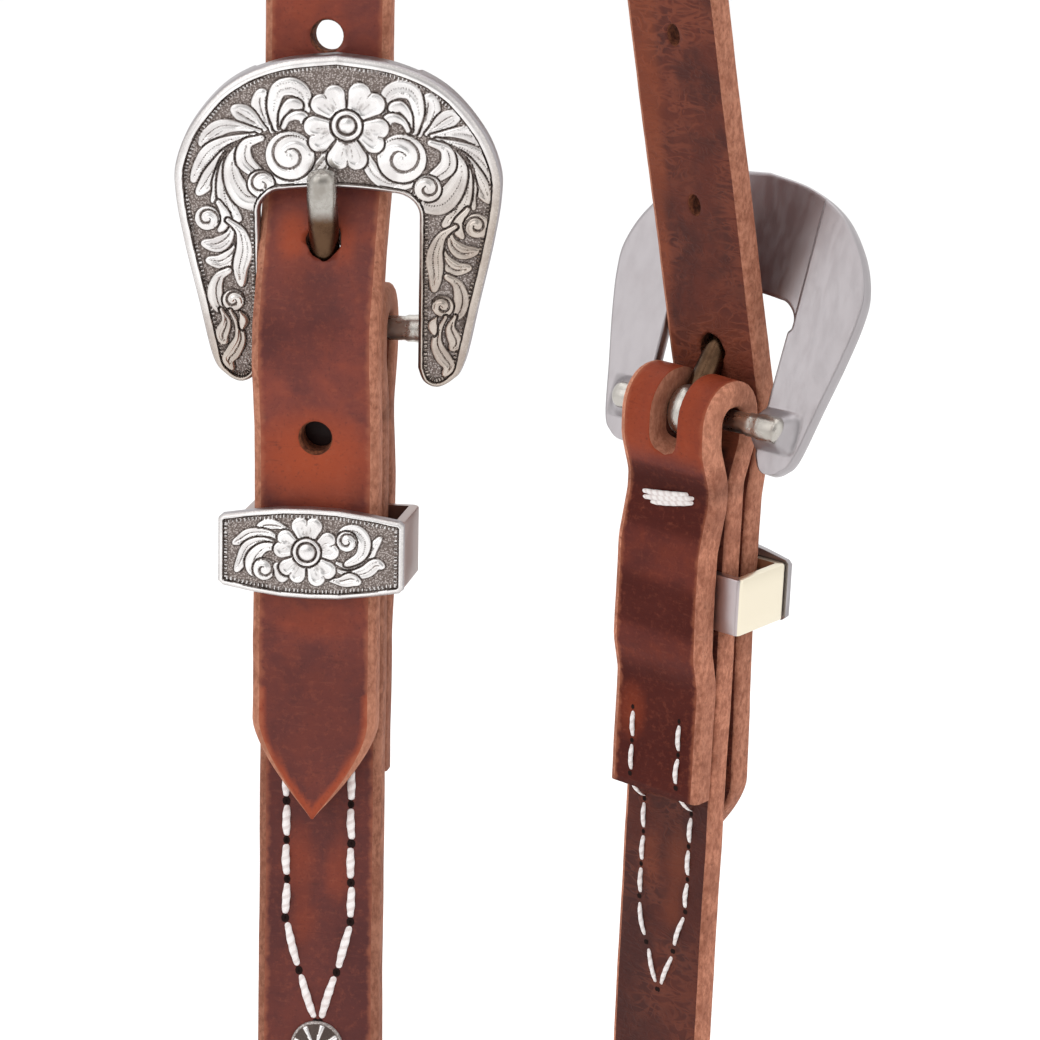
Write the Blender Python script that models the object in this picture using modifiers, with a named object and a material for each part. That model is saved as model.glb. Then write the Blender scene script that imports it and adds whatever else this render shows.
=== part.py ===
"""Western headstall with a horseshoe buckle on each cheek, hanging from a hook at the crown.

The frame is in metres with +Z up. The origin is the flesh side of the crown strap where it rests on
the hook. Each cheek is modelled in its own frame on the axis of its buckle's bar: X across the
strap, -Y towards the grain side and +Z up the strap.
"""

import math

import bmesh
import bpy
from mathutils import Matrix, Vector

MM = 0.001
DEGREE = math.pi / 180

# Leather
STRAP_WIDTH = 15.9 * MM
STRAP_THICKNESS = 3.8 * MM
EDGE_BEVEL = 0.9 * MM
LAYER_GAP = 0.3 * MM
STRAP_HALF = STRAP_WIDTH / 2
LEATHER_HALF = STRAP_THICKNESS / 2
LAYER_Y = (STRAP_THICKNESS + LAYER_GAP) / 2

# Bends and cuts
BEND_STEP = 16 * DEGREE
TWIST_STEP = 9.0 * MM
CUT_OVERRUN = 2.0 * MM
RIM_ANGLE = 50 * DEGREE
FLAT_SHARE = 0.999
KEY_DIGITS = 4

# Crown strap
HOOK_BEND_RADIUS = 14.0 * MM
POINT_LENGTH = 12.5 * MM
POINT_STEPS = 6
POINT_POWER = 1.5
FIRST_HOLE_FROM_TIP = 49.4 * MM
HOLE_PITCH = 25.4 * MM
HOLE_COUNT = 6
BUCKLED_HOLE = 1
HOLE_RADIUS = 2.05 * MM
HOLE_SIDES = 14
BILLET_EXIT_Z = 60.0 * MM
BILLET_BEND_RADIUS = 12.0 * MM
EAR_ZONE_LENGTH = 150.0 * MM
TWIST_SPAN = 26.0 * MM

# Fold of the cheek strap round the bar
BAR_RADIUS = 1.55 * MM
EYE_CLEARANCE = 0.45 * MM
EYE_SIDE_CLEARANCE = 0.85 * MM
EYE_FOOT_Z = -3.5 * MM
PINCH_TOP_Z = -9.5 * MM
PINCH_END_Z = -12.5 * MM
FOLD_SLOT_WIDTH = 4.6 * MM
FOLD_SLOT_DROP = 4.6 * MM
TAIL_END_Z = -57.7 * MM
TAIL_BEND_RADIUS = 6.0 * MM

# How far along its route the cheek strap has left its rear layer, and its front layer
REAR_SHARE = 0.14
FRONT_SHARE = 0.6

# Keeper
KEEPER_Z = -27.0 * MM
KEEPER_BAND_HEIGHT = 8.6 * MM
KEEPER_WALL = 1.2 * MM
KEEPER_SIDE_CLEARANCE = 1.4 * MM
KEEPER_SLIDE = 3.0 * MM
KEEPER_EDGE_BEVEL = 0.25 * MM
BILLET_SLACK = 0.8 * MM
PLATE_WIDTH = 23.5 * MM
PLATE_HEIGHT = 11.4 * MM
PLATE_THICKNESS = 1.3 * MM
PLATE_SEAT_GAP = 0.2 * MM
PLATE_BEVEL = 0.35 * MM
POCKET_RAMP = 5.5 * MM

# Bit end
BIT_LOOP_HALF_WIDTH = 9.5 * MM
BIT_LOOP_HEIGHT = 17.0 * MM
BIT_LOOP_BEND_RADIUS = 7.0 * MM
BIT_LOOP_BOTTOM_Z = -200.0 * MM
BIT_LOOP_NECK = 9.0 * MM
BIT_TAIL_TOP_Z = -136.0 * MM
SCREW_FROM_TAIL_TOP = 9.0 * MM
SCREW_PITCH = 19.0 * MM
SCREWS_PER_CHEEK = 2
POST_RADIUS = 2.6 * MM
POST_BORE_RADIUS = 1.7 * MM
POST_HEAD_RADIUS = 4.8 * MM
POST_HEAD_HEIGHT = 1.3 * MM
POST_BOTTOM_WALL = 0.6 * MM
SCREW_SHANK_RADIUS = 1.4 * MM
SCREW_SLOT_WIDTH = 1.0 * MM
SCREW_SLOT_DEPTH = 0.6 * MM
SEAT_GAP = 0.3 * MM
TURNED_SIDES = 20
DOME_STEPS = 4

# Spot below the V of stitches
SPOT_Z = -94.8 * MM
SPOT_RADIUS = 3.4 * MM
SPOT_RIM_HEIGHT = 0.5 * MM
SPOT_DOME_HEIGHT = 0.7 * MM
SPOT_SEAT_DEPTH = 0.8 * MM
SPOT_PIN_RADIUS = 0.9 * MM
SPOT_PIN_LENGTH = 1.8 * MM

# Buckle frame
FRAME_HALF_WIDTH = 20.3 * MM
FRAME_TOP_Z = 35.8 * MM
FRAME_FOOT_DROP = 6.3 * MM
FRAME_OPENING_HALF = 10.3 * MM
FRAME_OPENING_TOP_Z = 19.2 * MM
FRAME_OPENING_CORNER = 3.4 * MM
FRAME_OPENING_ARCH_SHARE = 0.14
FRAME_FRONT_Y = -4.1 * MM
FRAME_BACK_Y = -1.6 * MM
FRAME_RIM_BEVEL = 0.6 * MM
OUTLINE_STEPS = 4
RECESS_HALF_WIDTH = 9.6 * MM
RECESS_DEPTH = 0.8 * MM
RECESS_STEP = 0.5 * MM
LUG_HALF_HEIGHT = 3.2 * MM
LUG_DEPTH = 3.3 * MM
LUG_LEVELS = 7
LUG_FULL_X = 13.0 * MM
LUG_EDGE_X = 15.9 * MM

# Buckle bar
BAR_HEAD_RADIUS = 1.95 * MM
BAR_HEAD_LENGTH = 4.0 * MM
BAR_NECK_LENGTH = 1.1 * MM
BAR_SEAT_GAP = 0.2 * MM

# Buckle tongue
TONGUE_RADIUS = 1.9 * MM
TONGUE_EYE_WALL = 2.0 * MM
TONGUE_EYE_GAP = 0.25 * MM
TONGUE_REST_GAP = 0.45 * MM
TONGUE_TIP_Z = 22.2 * MM
TONGUE_HOLE_GAP = 0.3 * MM
TONGUE_SIDES = 12
TONGUE_LIFT = 1.5 * DEGREE
BUCKLE_SWING_BACK = 1.2 * DEGREE
BUCKLE_SWING_FORWARD = 1.0 * DEGREE

# Ear piece
EAR_WIDTH = 12.7 * MM
EAR_THICKNESS = 2.6 * MM
EAR_LENGTH = 104.0 * MM
EAR_LOOP_LENGTH = 14.0 * MM
EAR_RISE = 34.0 * MM
EAR_SHOULDER = 30.0 * MM
EAR_BEND_RADIUS = 14.0 * MM
EAR_CLEARANCE = 0.6 * MM
EAR_BELOW_CROWN = 96.0 * MM

# Places of the two cheeks: each bar's centre, where the billets pass and end, and how far each frame
# has slid along its bar, and each keeper's band along its plate
NEAR_BAR_X = -5.6 * MM
NEAR_BAR_Y = -8.6 * MM
NEAR_BAR_Z = -282.0 * MM
NEAR_BILLET_PASS_Y = -1.5 * MM
NEAR_TIP_Z = -62.0 * MM
NEAR_TIP_FLARE = 0.3 * MM
NEAR_FRAME_SHIFT = 1.6 * MM
NEAR_BAND_SHIFT = 1.1 * MM
FAR_BAR_X = 42.7 * MM
FAR_BAR_Y = 69.9 * MM
FAR_BAR_Z = -305.6 * MM
FAR_TIP_Z = -69.6 * MM
FAR_TIP_FLARE = 1.2 * MM
FAR_FRAME_SHIFT = -1.6 * MM
FAR_BAND_SHIFT = -1.1 * MM
CHEEKS = {
    "near": {
        "bar": Vector((NEAR_BAR_X, NEAR_BAR_Y, NEAR_BAR_Z)),
        "yaw": -8.6 * DEGREE,
        "lean": 1.2 * DEGREE,
        "roll": 1.2 * DEGREE,
        "billet_lean": 0.0 * DEGREE,
        "billet_roll": 0.0 * DEGREE,
        "billet_pass_y": NEAR_BILLET_PASS_Y,
        "tip_z": NEAR_TIP_Z,
        "tip_flare": NEAR_TIP_FLARE,
        "swing": 7.5 * DEGREE,
        "frame_yaw": 4.0 * DEGREE,
        "frame_shift": NEAR_FRAME_SHIFT,
        "band_shift": NEAR_BAND_SHIFT,
    },
    "far": {
        "bar": Vector((FAR_BAR_X, FAR_BAR_Y, FAR_BAR_Z)),
        "yaw": 141.0 * DEGREE,
        "lean": -4.6 * DEGREE,
        "roll": -6.9 * DEGREE,
        "billet_lean": -10.0 * DEGREE,
        "billet_roll": 4.6 * DEGREE,
        "billet_pass_y": None,
        "tip_z": FAR_TIP_Z,
        "tip_flare": FAR_TIP_FLARE,
        "swing": 22.5 * DEGREE,
        "frame_yaw": 5.0 * DEGREE,
        "frame_shift": FAR_FRAME_SHIFT,
        "band_shift": FAR_BAND_SHIFT,
    },
}

# Outer edge of the frame from the top to the foot: shares of its half width and of its height
# above the bar
FRAME_OUTER_SHARES = (
    (0.0, 1.0), (0.36, 0.97), (0.66, 0.89), (0.88, 0.75), (0.985, 0.61),
    (0.99, 0.49), (0.94, 0.32), (0.86, 0.12), (0.775, -0.09),
)
# The foot's rounded end: shares of the frame's half width and of the drop below the bar
FRAME_FOOT_SHARES = ((0.70, -0.86), (0.61, -1.0), (0.535, -0.9), (0.50, -0.62))
# Half of the keeper plate's edge: shares of its half width and half height
PLATE_SHARES = (
    (1.0, 0.0), (1.0, 0.70), (0.955, 0.785), (0.62, 0.90), (0.30, 0.985), (0.0, 1.0),
)


def clear_objects():
    for obj in list(bpy.data.objects):
        bpy.data.objects.remove(obj, do_unlink=True)


def new_collection(name):
    collection = bpy.data.collections.new(name)
    bpy.context.scene.collection.children.link(collection)
    return collection


def new_material(name, colour, roughness, metallic):
    material = bpy.data.materials.new(name)
    material.use_nodes = True
    shader = material.node_tree.nodes["Principled BSDF"]
    shader.inputs["Base Color"].default_value = (*colour, 1.0)
    shader.inputs["Roughness"].default_value = roughness
    shader.inputs["Metallic"].default_value = metallic
    material.diffuse_color = (*colour, 1.0)
    return material


def new_object(name, bm, collection, matrix=None):
    """Turn a bmesh into an object placed by its matrix."""
    bmesh.ops.recalc_face_normals(bm, faces=bm.faces[:])
    mesh = bpy.data.meshes.new(name)
    bm.to_mesh(mesh)
    bm.free()
    obj = bpy.data.objects.new(name, mesh)
    collection.objects.link(obj)
    if matrix is not None:
        obj.matrix_world = matrix
    return obj


def finish(obj, material, smooth_angle=35 * DEGREE):
    """Give an object its material and smooth shading between the sharp edges."""
    obj.data.materials.clear()
    obj.data.materials.append(material)
    obj.data.shade_smooth()
    obj.data.set_sharp_from_angle(angle=smooth_angle)
    return obj


def cutter(obj, cutters):
    for collection in list(obj.users_collection):
        collection.objects.unlink(obj)
    cutters.objects.link(obj)
    obj.hide_render = True
    obj.display_type = "WIRE"
    return obj


def add_boolean(obj, other, operation="DIFFERENCE"):
    modifier = obj.modifiers.new(operation.title(), "BOOLEAN")
    modifier.object = other
    modifier.operation = operation
    modifier.solver = "EXACT"


class Route:
    """The centre line of a strap: straight runs joined by arcs, walked by length."""

    def __init__(self, corners):
        self.pieces = []
        self.length = 0.0
        start = corners[0][0]
        for index in range(1, len(corners) - 1):
            corner, radius = corners[index]
            run_in = (corner - corners[index - 1][0]).normalized()
            run_out = (corners[index + 1][0] - corner).normalized()
            turn = run_in.angle(run_out)
            trim = radius * math.tan(turn / 2)
            self.add_run(start, corner - run_in * trim)
            self.add_arc(corner - run_in * trim, run_in, run_out, radius, turn)
            start = corner + run_out * trim
        self.add_run(start, corners[-1][0])

    def add_run(self, start, end):
        span = (end - start).length
        self.pieces.append((self.length, span, start, (end - start).normalized(), None, 0.0, 0.0))
        self.length += span

    def add_arc(self, start, run_in, run_out, radius, turn):
        across = (run_out - run_in * run_in.dot(run_out)).normalized()
        self.pieces.append((self.length, radius * turn, start, run_in, across, radius, turn))
        self.length += radius * turn

    def at(self, distance):
        """The point and the direction of travel at a distance along the route."""
        piece = next((p for p in self.pieces if distance <= p[0] + p[1]), self.pieces[-1])
        begin, span, start, along, across, radius, turn = piece
        step = distance - begin
        if across is None:
            return start + along * step, along
        angle = step / radius
        point = start + along * (radius * math.sin(angle)) + across * (radius * (1 - math.cos(angle)))
        return point, along * math.cos(angle) + across * math.sin(angle)

    def stations(self, run_step=None):
        """Distances at which a flat blank is creased so that it bends with the route."""
        found = set()
        for begin, span, _, _, across, _, turn in self.pieces:
            steps = 1
            if across is not None:
                steps = max(1, math.ceil(turn / BEND_STEP))
            elif run_step:
                steps = max(1, math.ceil(span / run_step))
            found.update(begin + span * k / steps for k in range(steps + 1))
        return sorted(d for d in found if 0 < d < self.length)


def circle_points(centre, radius, sides):
    """Points round a hole in a blank, as (distance along, place across)."""
    turns = [2 * math.pi * (k + 0.5) / sides for k in range(sides)]
    return [(centre + radius * math.cos(a), radius * math.sin(a)) for a in turns]


def slot_points(start, end, half_width, sides):
    """A slot with round ends that runs along a blank."""
    half = sides // 2
    points = []
    for centre, first in ((end - half_width, -math.pi / 2), (start + half_width, math.pi / 2)):
        for k in range(half + 1):
            angle = first + math.pi * k / half
            points.append((centre + half_width * math.cos(angle), half_width * math.sin(angle)))
    return points


def extruded_outline(loops, thickness):
    """A flat blank from closed loops of (x, y) points: the first is its edge, the others holes."""
    bm = bmesh.new()
    for loop in loops:
        verts = [bm.verts.new((x, y, -thickness / 2)) for x, y in loop]
        for first, second in zip(verts, verts[1:] + verts[:1]):
            bm.edges.new((first, second))
    bmesh.ops.triangle_fill(bm, use_beauty=True, use_dissolve=False, edges=bm.edges[:], normal=(0, 0, 1))
    grown = bmesh.ops.extrude_face_region(bm, geom=bm.faces[:])
    raised = [item for item in grown["geom"] if isinstance(item, bmesh.types.BMVert)]
    bmesh.ops.translate(bm, verts=raised, vec=(0, 0, thickness))
    bmesh.ops.recalc_face_normals(bm, faces=bm.faces[:])
    return bm


def bevel_rims(bm, loop, offset, sides=(-1, 1)):
    """Bevel the rims that run along one loop, on the lower (-1) or the upper (1) face."""
    edge_of_loop = {(round(x / MM, KEY_DIGITS), round(y / MM, KEY_DIGITS)) for x, y in loop}
    rims = []
    for edge in bm.edges:
        first, second = edge.verts
        level = abs(first.co.z - second.co.z) < offset / 10
        on_side = any(first.co.z * side > 0 for side in sides)
        known = all(
            (round(v.co.x / MM, KEY_DIGITS), round(v.co.y / MM, KEY_DIGITS)) in edge_of_loop
            for v in edge.verts)
        if level and on_side and known and edge.calc_face_angle(0.0) > RIM_ANGLE:
            rims.append(edge)
    bmesh.ops.bevel(bm, geom=rims, offset=offset, segments=1, affect="EDGES", clamp_overlap=True)


def slice_at(bm, places, normal):
    for place in places:
        geometry = bm.verts[:] + bm.edges[:] + bm.faces[:]
        bmesh.ops.bisect_plane(
            bm, geom=geometry, dist=MM / 10000, plane_co=Vector(normal) * place, plane_no=normal)


def join_slices(bm):
    """Join the flat faces between two creases, so that only the creases cross the blank."""
    bm.normal_update()
    spare = []
    for edge in bm.edges:
        first, second = edge.verts
        flat = all(abs(face.normal.z) > FLAT_SHARE for face in edge.link_faces)
        if flat and abs(first.co.x - second.co.x) > MM / 1000:
            spare.append(edge)
    bmesh.ops.dissolve_edges(bm, edges=spare, use_verts=True)


def bend_strap(bm, route, across_at, stations):
    """Crease a blank at the stations and lay it along its route, grain side outwards."""
    slice_at(bm, stations, (1, 0, 0))
    join_slices(bm)
    for vert in bm.verts:
        distance, side, out = vert.co.x, -vert.co.y, vert.co.z
        point, along = route.at(distance)
        across = across_at(distance)
        across = (across - along * along.dot(across)).normalized()
        vert.co = point + across * side + across.cross(along) * out


def cheek_matrix(cheek):
    """The frame of one cheek: X across the strap, -Y on its grain side, Z up the strap."""
    turn = Matrix.Rotation(cheek["yaw"], 4, "Z") @ Matrix.Rotation(cheek["lean"], 4, "X")
    return Matrix.Translation(cheek["bar"]) @ turn @ Matrix.Rotation(cheek["roll"], 4, "Y")


def buckle_matrix(cheek):
    """The frame of one buckle, turned and swung forward about its bar."""
    shift = Matrix.Translation((cheek["frame_shift"], 0, 0))
    yaw = Matrix.Rotation(cheek["frame_yaw"], 4, "Z")
    return cheek_matrix(cheek) @ shift @ yaw @ Matrix.Rotation(cheek["swing"], 4, "X")


def tongue_matrix(cheek):
    """The tongue turns on the same bar, but stays on the middle of the strap."""
    return buckle_matrix(cheek) @ Matrix.Translation((-cheek["frame_shift"], 0, 0))


def fold_radii():
    """Centre line of the fold: how far out it stands at the sides and at the top of the eye."""
    side = BAR_RADIUS + EYE_SIDE_CLEARANCE + LEATHER_HALF
    top = BAR_RADIUS + EYE_CLEARANCE + LEATHER_HALF
    return side, top


def keeper_faces():
    """Where the keeper's walls lie, front to back."""
    rear_inner = LAYER_GAP / 2
    billet_back = -LAYER_GAP / 2 - STRAP_THICKNESS - BILLET_SLACK
    front_inner = billet_back - STRAP_THICKNESS - LAYER_GAP
    return front_inner - KEEPER_WALL, front_inner, rear_inner, rear_inner + KEEPER_WALL


def pocket_y():
    """Centre line of the tail where it passes behind the keeper's rear wall."""
    return keeper_faces()[3] + LAYER_GAP + LEATHER_HALF


def local_points(corners):
    """Corners in a strap's own plane, (y, z, bend radius), as points of a route."""
    return [(Vector((0, y, z)), radius) for y, z, radius in corners]


def cheek_route():
    """From the screwed tail, round the bit loop, up the strap, over the bar and down the tail."""
    side, top = fold_radii()
    loop = BIT_LOOP_HALF_WIDTH + LEATHER_HALF
    loop_top = BIT_LOOP_BOTTOM_Z + BIT_LOOP_HEIGHT
    bottom = BIT_LOOP_BOTTOM_Z - LEATHER_HALF
    pocket = pocket_y()
    pocket_half = KEEPER_BAND_HEIGHT / 2 + KEEPER_SLIDE + LAYER_GAP
    soft = TAIL_BEND_RADIUS
    corners = (
        (LAYER_Y, BIT_TAIL_TOP_Z, 0),
        (LAYER_Y, loop_top + BIT_LOOP_NECK, soft),
        (loop, loop_top, soft),
        (loop, bottom, BIT_LOOP_BEND_RADIUS),
        (-loop, bottom, BIT_LOOP_BEND_RADIUS),
        (-loop, loop_top, soft),
        (-LAYER_Y, loop_top + BIT_LOOP_NECK, soft),
        (-LAYER_Y, PINCH_TOP_Z, soft),
        (-side, EYE_FOOT_Z, soft),
        (-side, top, top),
        (side, top, top),
        (side, EYE_FOOT_Z, soft),
        (LAYER_Y, PINCH_TOP_Z, soft),
        (LAYER_Y, PINCH_END_Z, soft),
        (pocket, KEEPER_Z + pocket_half, soft),
        (pocket, KEEPER_Z - pocket_half, soft),
        (LAYER_Y, KEEPER_Z - pocket_half - POCKET_RAMP, soft),
        (LAYER_Y, TAIL_END_Z, 0),
    )
    return Route(local_points(corners))


def distance_at_height(route, height, first, last):
    """The distance at which a route first passes a height, between two shares of its length."""
    steps = 400
    spots = [route.length * (first + (last - first) * k / steps) for k in range(steps + 1)]
    return min(spots, key=lambda spot: abs(route.at(spot)[0].z - height))


def screw_heights():
    first = BIT_TAIL_TOP_Z - SCREW_FROM_TAIL_TOP
    return [first - SCREW_PITCH * k for k in range(SCREWS_PER_CHEEK)]


def make_cheek_strap(side_name, cheek, materials, parts, cutters):
    route = cheek_route()
    half = STRAP_HALF
    outline = [(0, -half), (route.length, -half), (route.length, half), (0, half)]
    holes = []
    screws = []
    for height in screw_heights():
        rear = distance_at_height(route, height, 0, REAR_SHARE)
        front = distance_at_height(route, height, REAR_SHARE, FRONT_SHARE)
        screws += [rear, front]
    for place in screws:
        holes.append(circle_points(place, POST_RADIUS + SEAT_GAP, HOLE_SIDES))
    top = max(range(len(route.pieces)), key=lambda k: route.pieces[k][2].z)
    crest = route.pieces[top][0] + route.pieces[top][1] / 2
    reach = fold_radii()[0] * math.pi / 2 + FOLD_SLOT_DROP
    holes.append(slot_points(crest - reach, crest + reach, FOLD_SLOT_WIDTH / 2, HOLE_SIDES))
    bm = extruded_outline([outline, *holes], STRAP_THICKNESS)
    bevel_rims(bm, outline, EDGE_BEVEL)
    bend_strap(bm, route, lambda _: Vector((1, 0, 0)), route.stations() + screws)
    strap = new_object(f"{side_name}_cheek_strap", bm, parts, cheek_matrix(cheek))
    seat = turned_profile(spot_profile(SEAT_GAP), f"{side_name}_spot_seat", cutters)
    seat.matrix_world = cheek_matrix(cheek) @ spot_place()
    add_boolean(strap, cutter(seat, cutters))
    return finish(strap, materials["leather"])


def billet_corners(cheek):
    """The crown strap's end, from its pointed tip up past the buckle."""
    side, _ = fold_radii()
    at_keeper = -LAYER_GAP / 2 - STRAP_THICKNESS - BILLET_SLACK - LEATHER_HALF
    over_fold = -side - LEATHER_HALF - LAYER_GAP - LEATHER_HALF
    bend = BILLET_BEND_RADIUS
    keeper_low = KEEPER_Z - KEEPER_BAND_HEIGHT
    corners = [
        (at_keeper - cheek["tip_flare"], cheek["tip_z"], 0),
        (at_keeper, keeper_low, bend),
        (at_keeper, PINCH_END_Z, bend),
        (over_fold, EYE_FOOT_Z, bend),
        (over_fold, BAR_RADIUS, bend / 2),
    ]
    if cheek["billet_pass_y"] is not None:
        corners.append((cheek["billet_pass_y"], FRAME_OPENING_TOP_Z, bend))
        corners.append((cheek["billet_pass_y"], BILLET_EXIT_Z, bend))
        return corners
    rise = BILLET_EXIT_Z - BAR_RADIUS
    corners.append((over_fold - rise * math.tan(cheek["billet_lean"]), BILLET_EXIT_Z, bend))
    return corners


def billet_points(cheek):
    """The same corners in the world, rolled above the bar as the strap hangs."""
    place = cheek_matrix(cheek)
    roll = Matrix.Rotation(cheek["billet_roll"], 4, "Y")
    points = []
    for y, z, radius in billet_corners(cheek):
        local = Vector((0, y, z))
        if z > BAR_RADIUS:
            local = roll @ local
        points.append((place @ local, radius))
    return points


def crown_route():
    near = billet_points(CHEEKS["near"])
    far = billet_points(CHEEKS["far"])
    bend = HOOK_BEND_RADIUS
    hook = [(Vector((0, y, LEATHER_HALF)), bend) for y in (-bend, bend)]
    return Route(near + hook + far[::-1])


def near_leg():
    """The straight leg on the near side: its lower and upper end."""
    lower = billet_points(CHEEKS["near"])[-1][0]
    upper = Vector((0, -HOOK_BEND_RADIUS, LEATHER_HALF))
    return lower, upper


def crown_across(route):
    """How the strap's width turns from each cheek to the hook's own direction."""
    near_x = cheek_matrix(CHEEKS["near"]).col[0].to_3d()
    far_x = -cheek_matrix(CHEEKS["far"]).col[0].to_3d()
    hook_x = Vector((1, 0, 0))
    near_end = billet_length(CHEEKS["near"])
    far_end = route.length - billet_length(CHEEKS["far"])
    hook_mid = (near_end + far_end) / 2

    def across(distance):
        if distance < hook_mid:
            share = (distance - near_end) / TWIST_SPAN
            start, end = near_x, hook_x
        else:
            share = (far_end - distance) / (far_end - hook_mid - HOOK_BEND_RADIUS * math.pi / 2)
            start, end = far_x, hook_x
        share = min(1.0, max(0.0, share))
        smooth = share * share * (3 - 2 * share)
        return start.lerp(end, smooth)

    return across


def billet_length(cheek):
    points = billet_points(cheek)
    return sum((b[0] - a[0]).length for a, b in zip(points, points[1:]))


def pointed_outline(length):
    """A strap with a rounded point at both ends."""
    rise = []
    for k in range(1, POINT_STEPS + 1):
        share = k / POINT_STEPS
        rise.append((POINT_LENGTH * share, STRAP_HALF * (1 - (1 - share) ** POINT_POWER)))
    start = [(s, -w) for s, w in rise]
    end = [(length - s, -w) for s, w in reversed(rise)]
    back = [(length - s, w) for s, w in rise]
    home = [(s, w) for s, w in reversed(rise)]
    return [(0, 0), *start, *end, (length, 0), *back, *home]


def hole_distances(length):
    """Punched holes from both tips, without the hole that each tongue stretches."""
    places = []
    for k in range(HOLE_COUNT):
        if k != BUCKLED_HOLE:
            place = FIRST_HOLE_FROM_TIP + HOLE_PITCH * k
            places += [place, length - place]
    return places


def make_crown_strap(materials, parts, cutters):
    route = crown_route()
    outline = pointed_outline(route.length)
    places = hole_distances(route.length)
    holes = [circle_points(place, HOLE_RADIUS, HOLE_SIDES) for place in places]
    bm = extruded_outline([outline, *holes], STRAP_THICKNESS)
    bevel_rims(bm, outline, EDGE_BEVEL)
    bend_strap(bm, route, crown_across(route), route.stations(TWIST_STEP) + places)
    strap = new_object("crown_strap", bm, parts)
    for side_name, cheek in CHEEKS.items():
        sweep = make_tongue_sweep(side_name, cheek, cutters)
        add_boolean(strap, sweep)
    return finish(strap, materials["leather"])


def tongue_points():
    """The tongue's centre line in the buckle's frame: out of the eye, then flat on the crossbar."""
    rest_y = FRAME_FRONT_Y - TONGUE_REST_GAP - TONGUE_RADIUS
    eye_top = BAR_RADIUS + TONGUE_EYE_GAP + TONGUE_EYE_WALL / 2
    return [
        Vector((0, -TONGUE_EYE_WALL / 2, eye_top)),
        Vector((0, rest_y, FRAME_OPENING_TOP_Z - TONGUE_RADIUS / 2)),
        Vector((0, rest_y, TONGUE_TIP_Z - TONGUE_RADIUS)),
        Vector((0, rest_y, TONGUE_TIP_Z)),
    ]


def ring_at(point, along, radius, sides):
    """Points of a round section square to a direction in the buckle's YZ plane."""
    across = Vector((1, 0, 0))
    up = along.cross(across).normalized()
    turns = [2 * math.pi * k / sides for k in range(sides)]
    return [point + across * radius * math.cos(a) + up * radius * math.sin(a) for a in turns]


def make_tongue_sweep(side_name, cheek, cutters):
    """The room that the tongue takes in the billet over its whole play."""
    low, high = tongue_points()[:2]
    along = (high - low).normalized()
    radius = TONGUE_RADIUS + TONGUE_HOLE_GAP
    bm = bmesh.new()
    for angle in (-BUCKLE_SWING_BACK, BUCKLE_SWING_FORWARD + TONGUE_LIFT):
        turn = Matrix.Rotation(angle, 3, "X")
        for end in (low, high + along * CUT_OVERRUN):
            for point in ring_at(end, along, radius, TONGUE_SIDES):
                bm.verts.new(turn @ point)
    hull = bmesh.ops.convex_hull(bm, input=bm.verts[:])
    inside = [v for v in hull["geom_interior"] if isinstance(v, bmesh.types.BMVert)]
    bmesh.ops.delete(bm, geom=inside, context="VERTS")
    sweep = new_object(f"{side_name}_tongue_sweep", bm, cutters, tongue_matrix(cheek))
    return cutter(sweep, cutters)


def smooth_points(points, steps):
    """A rounded line through hand-set points."""
    result = []
    for k in range(len(points) - 1):
        before = points[max(0, k - 1)]
        start, end = points[k], points[k + 1]
        after = points[min(len(points) - 1, k + 2)]
        for step in range(steps):
            t = step / steps
            axis_values = []
            for a, b, c, d in zip(before, start, end, after):
                value = 0.5 * (2 * b + (c - a) * t + (2 * a - 5 * b + 4 * c - d) * t * t
                               + (3 * b - a - 3 * c + d) * t ** 3)
                axis_values.append(value)
            result.append(tuple(axis_values))
    result.append(tuple(points[-1]))
    return result


def frame_outline():
    """The horseshoe's closed edge in X and Z, from its top round the feet and the opening."""
    outer = [(FRAME_HALF_WIDTH * x, FRAME_TOP_Z * z) for x, z in FRAME_OUTER_SHARES]
    foot = [(FRAME_HALF_WIDTH * x, FRAME_FOOT_DROP * z) for x, z in FRAME_FOOT_SHARES]
    right = smooth_points(outer + foot, OUTLINE_STEPS)
    corner_x = FRAME_OPENING_HALF - FRAME_OPENING_CORNER
    corner_z = FRAME_OPENING_TOP_Z - FRAME_OPENING_CORNER
    for k in range(OUTLINE_STEPS + 1):
        angle = math.pi / 2 * k / OUTLINE_STEPS
        x = corner_x + FRAME_OPENING_CORNER * math.cos(angle)
        z = corner_z + FRAME_OPENING_CORNER * math.sin(angle) * (1 - FRAME_OPENING_ARCH_SHARE)
        right.append((x, z))
    right.append((0, FRAME_OPENING_TOP_Z))
    left = [(-x, z) for x, z in reversed(right[1:-1])]
    return right + left


def lug_bulge(x, z):
    """How far the rounded lug behind each foot stands out at a place on the back."""
    share = z / LUG_HALF_HEIGHT
    fade = min(1.0, max(0.0, (LUG_EDGE_X - abs(x)) / (LUG_EDGE_X - LUG_FULL_X)))
    return LUG_DEPTH * math.sqrt(max(0.0, 1 - share * share)) * math.sqrt(fade)


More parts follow.
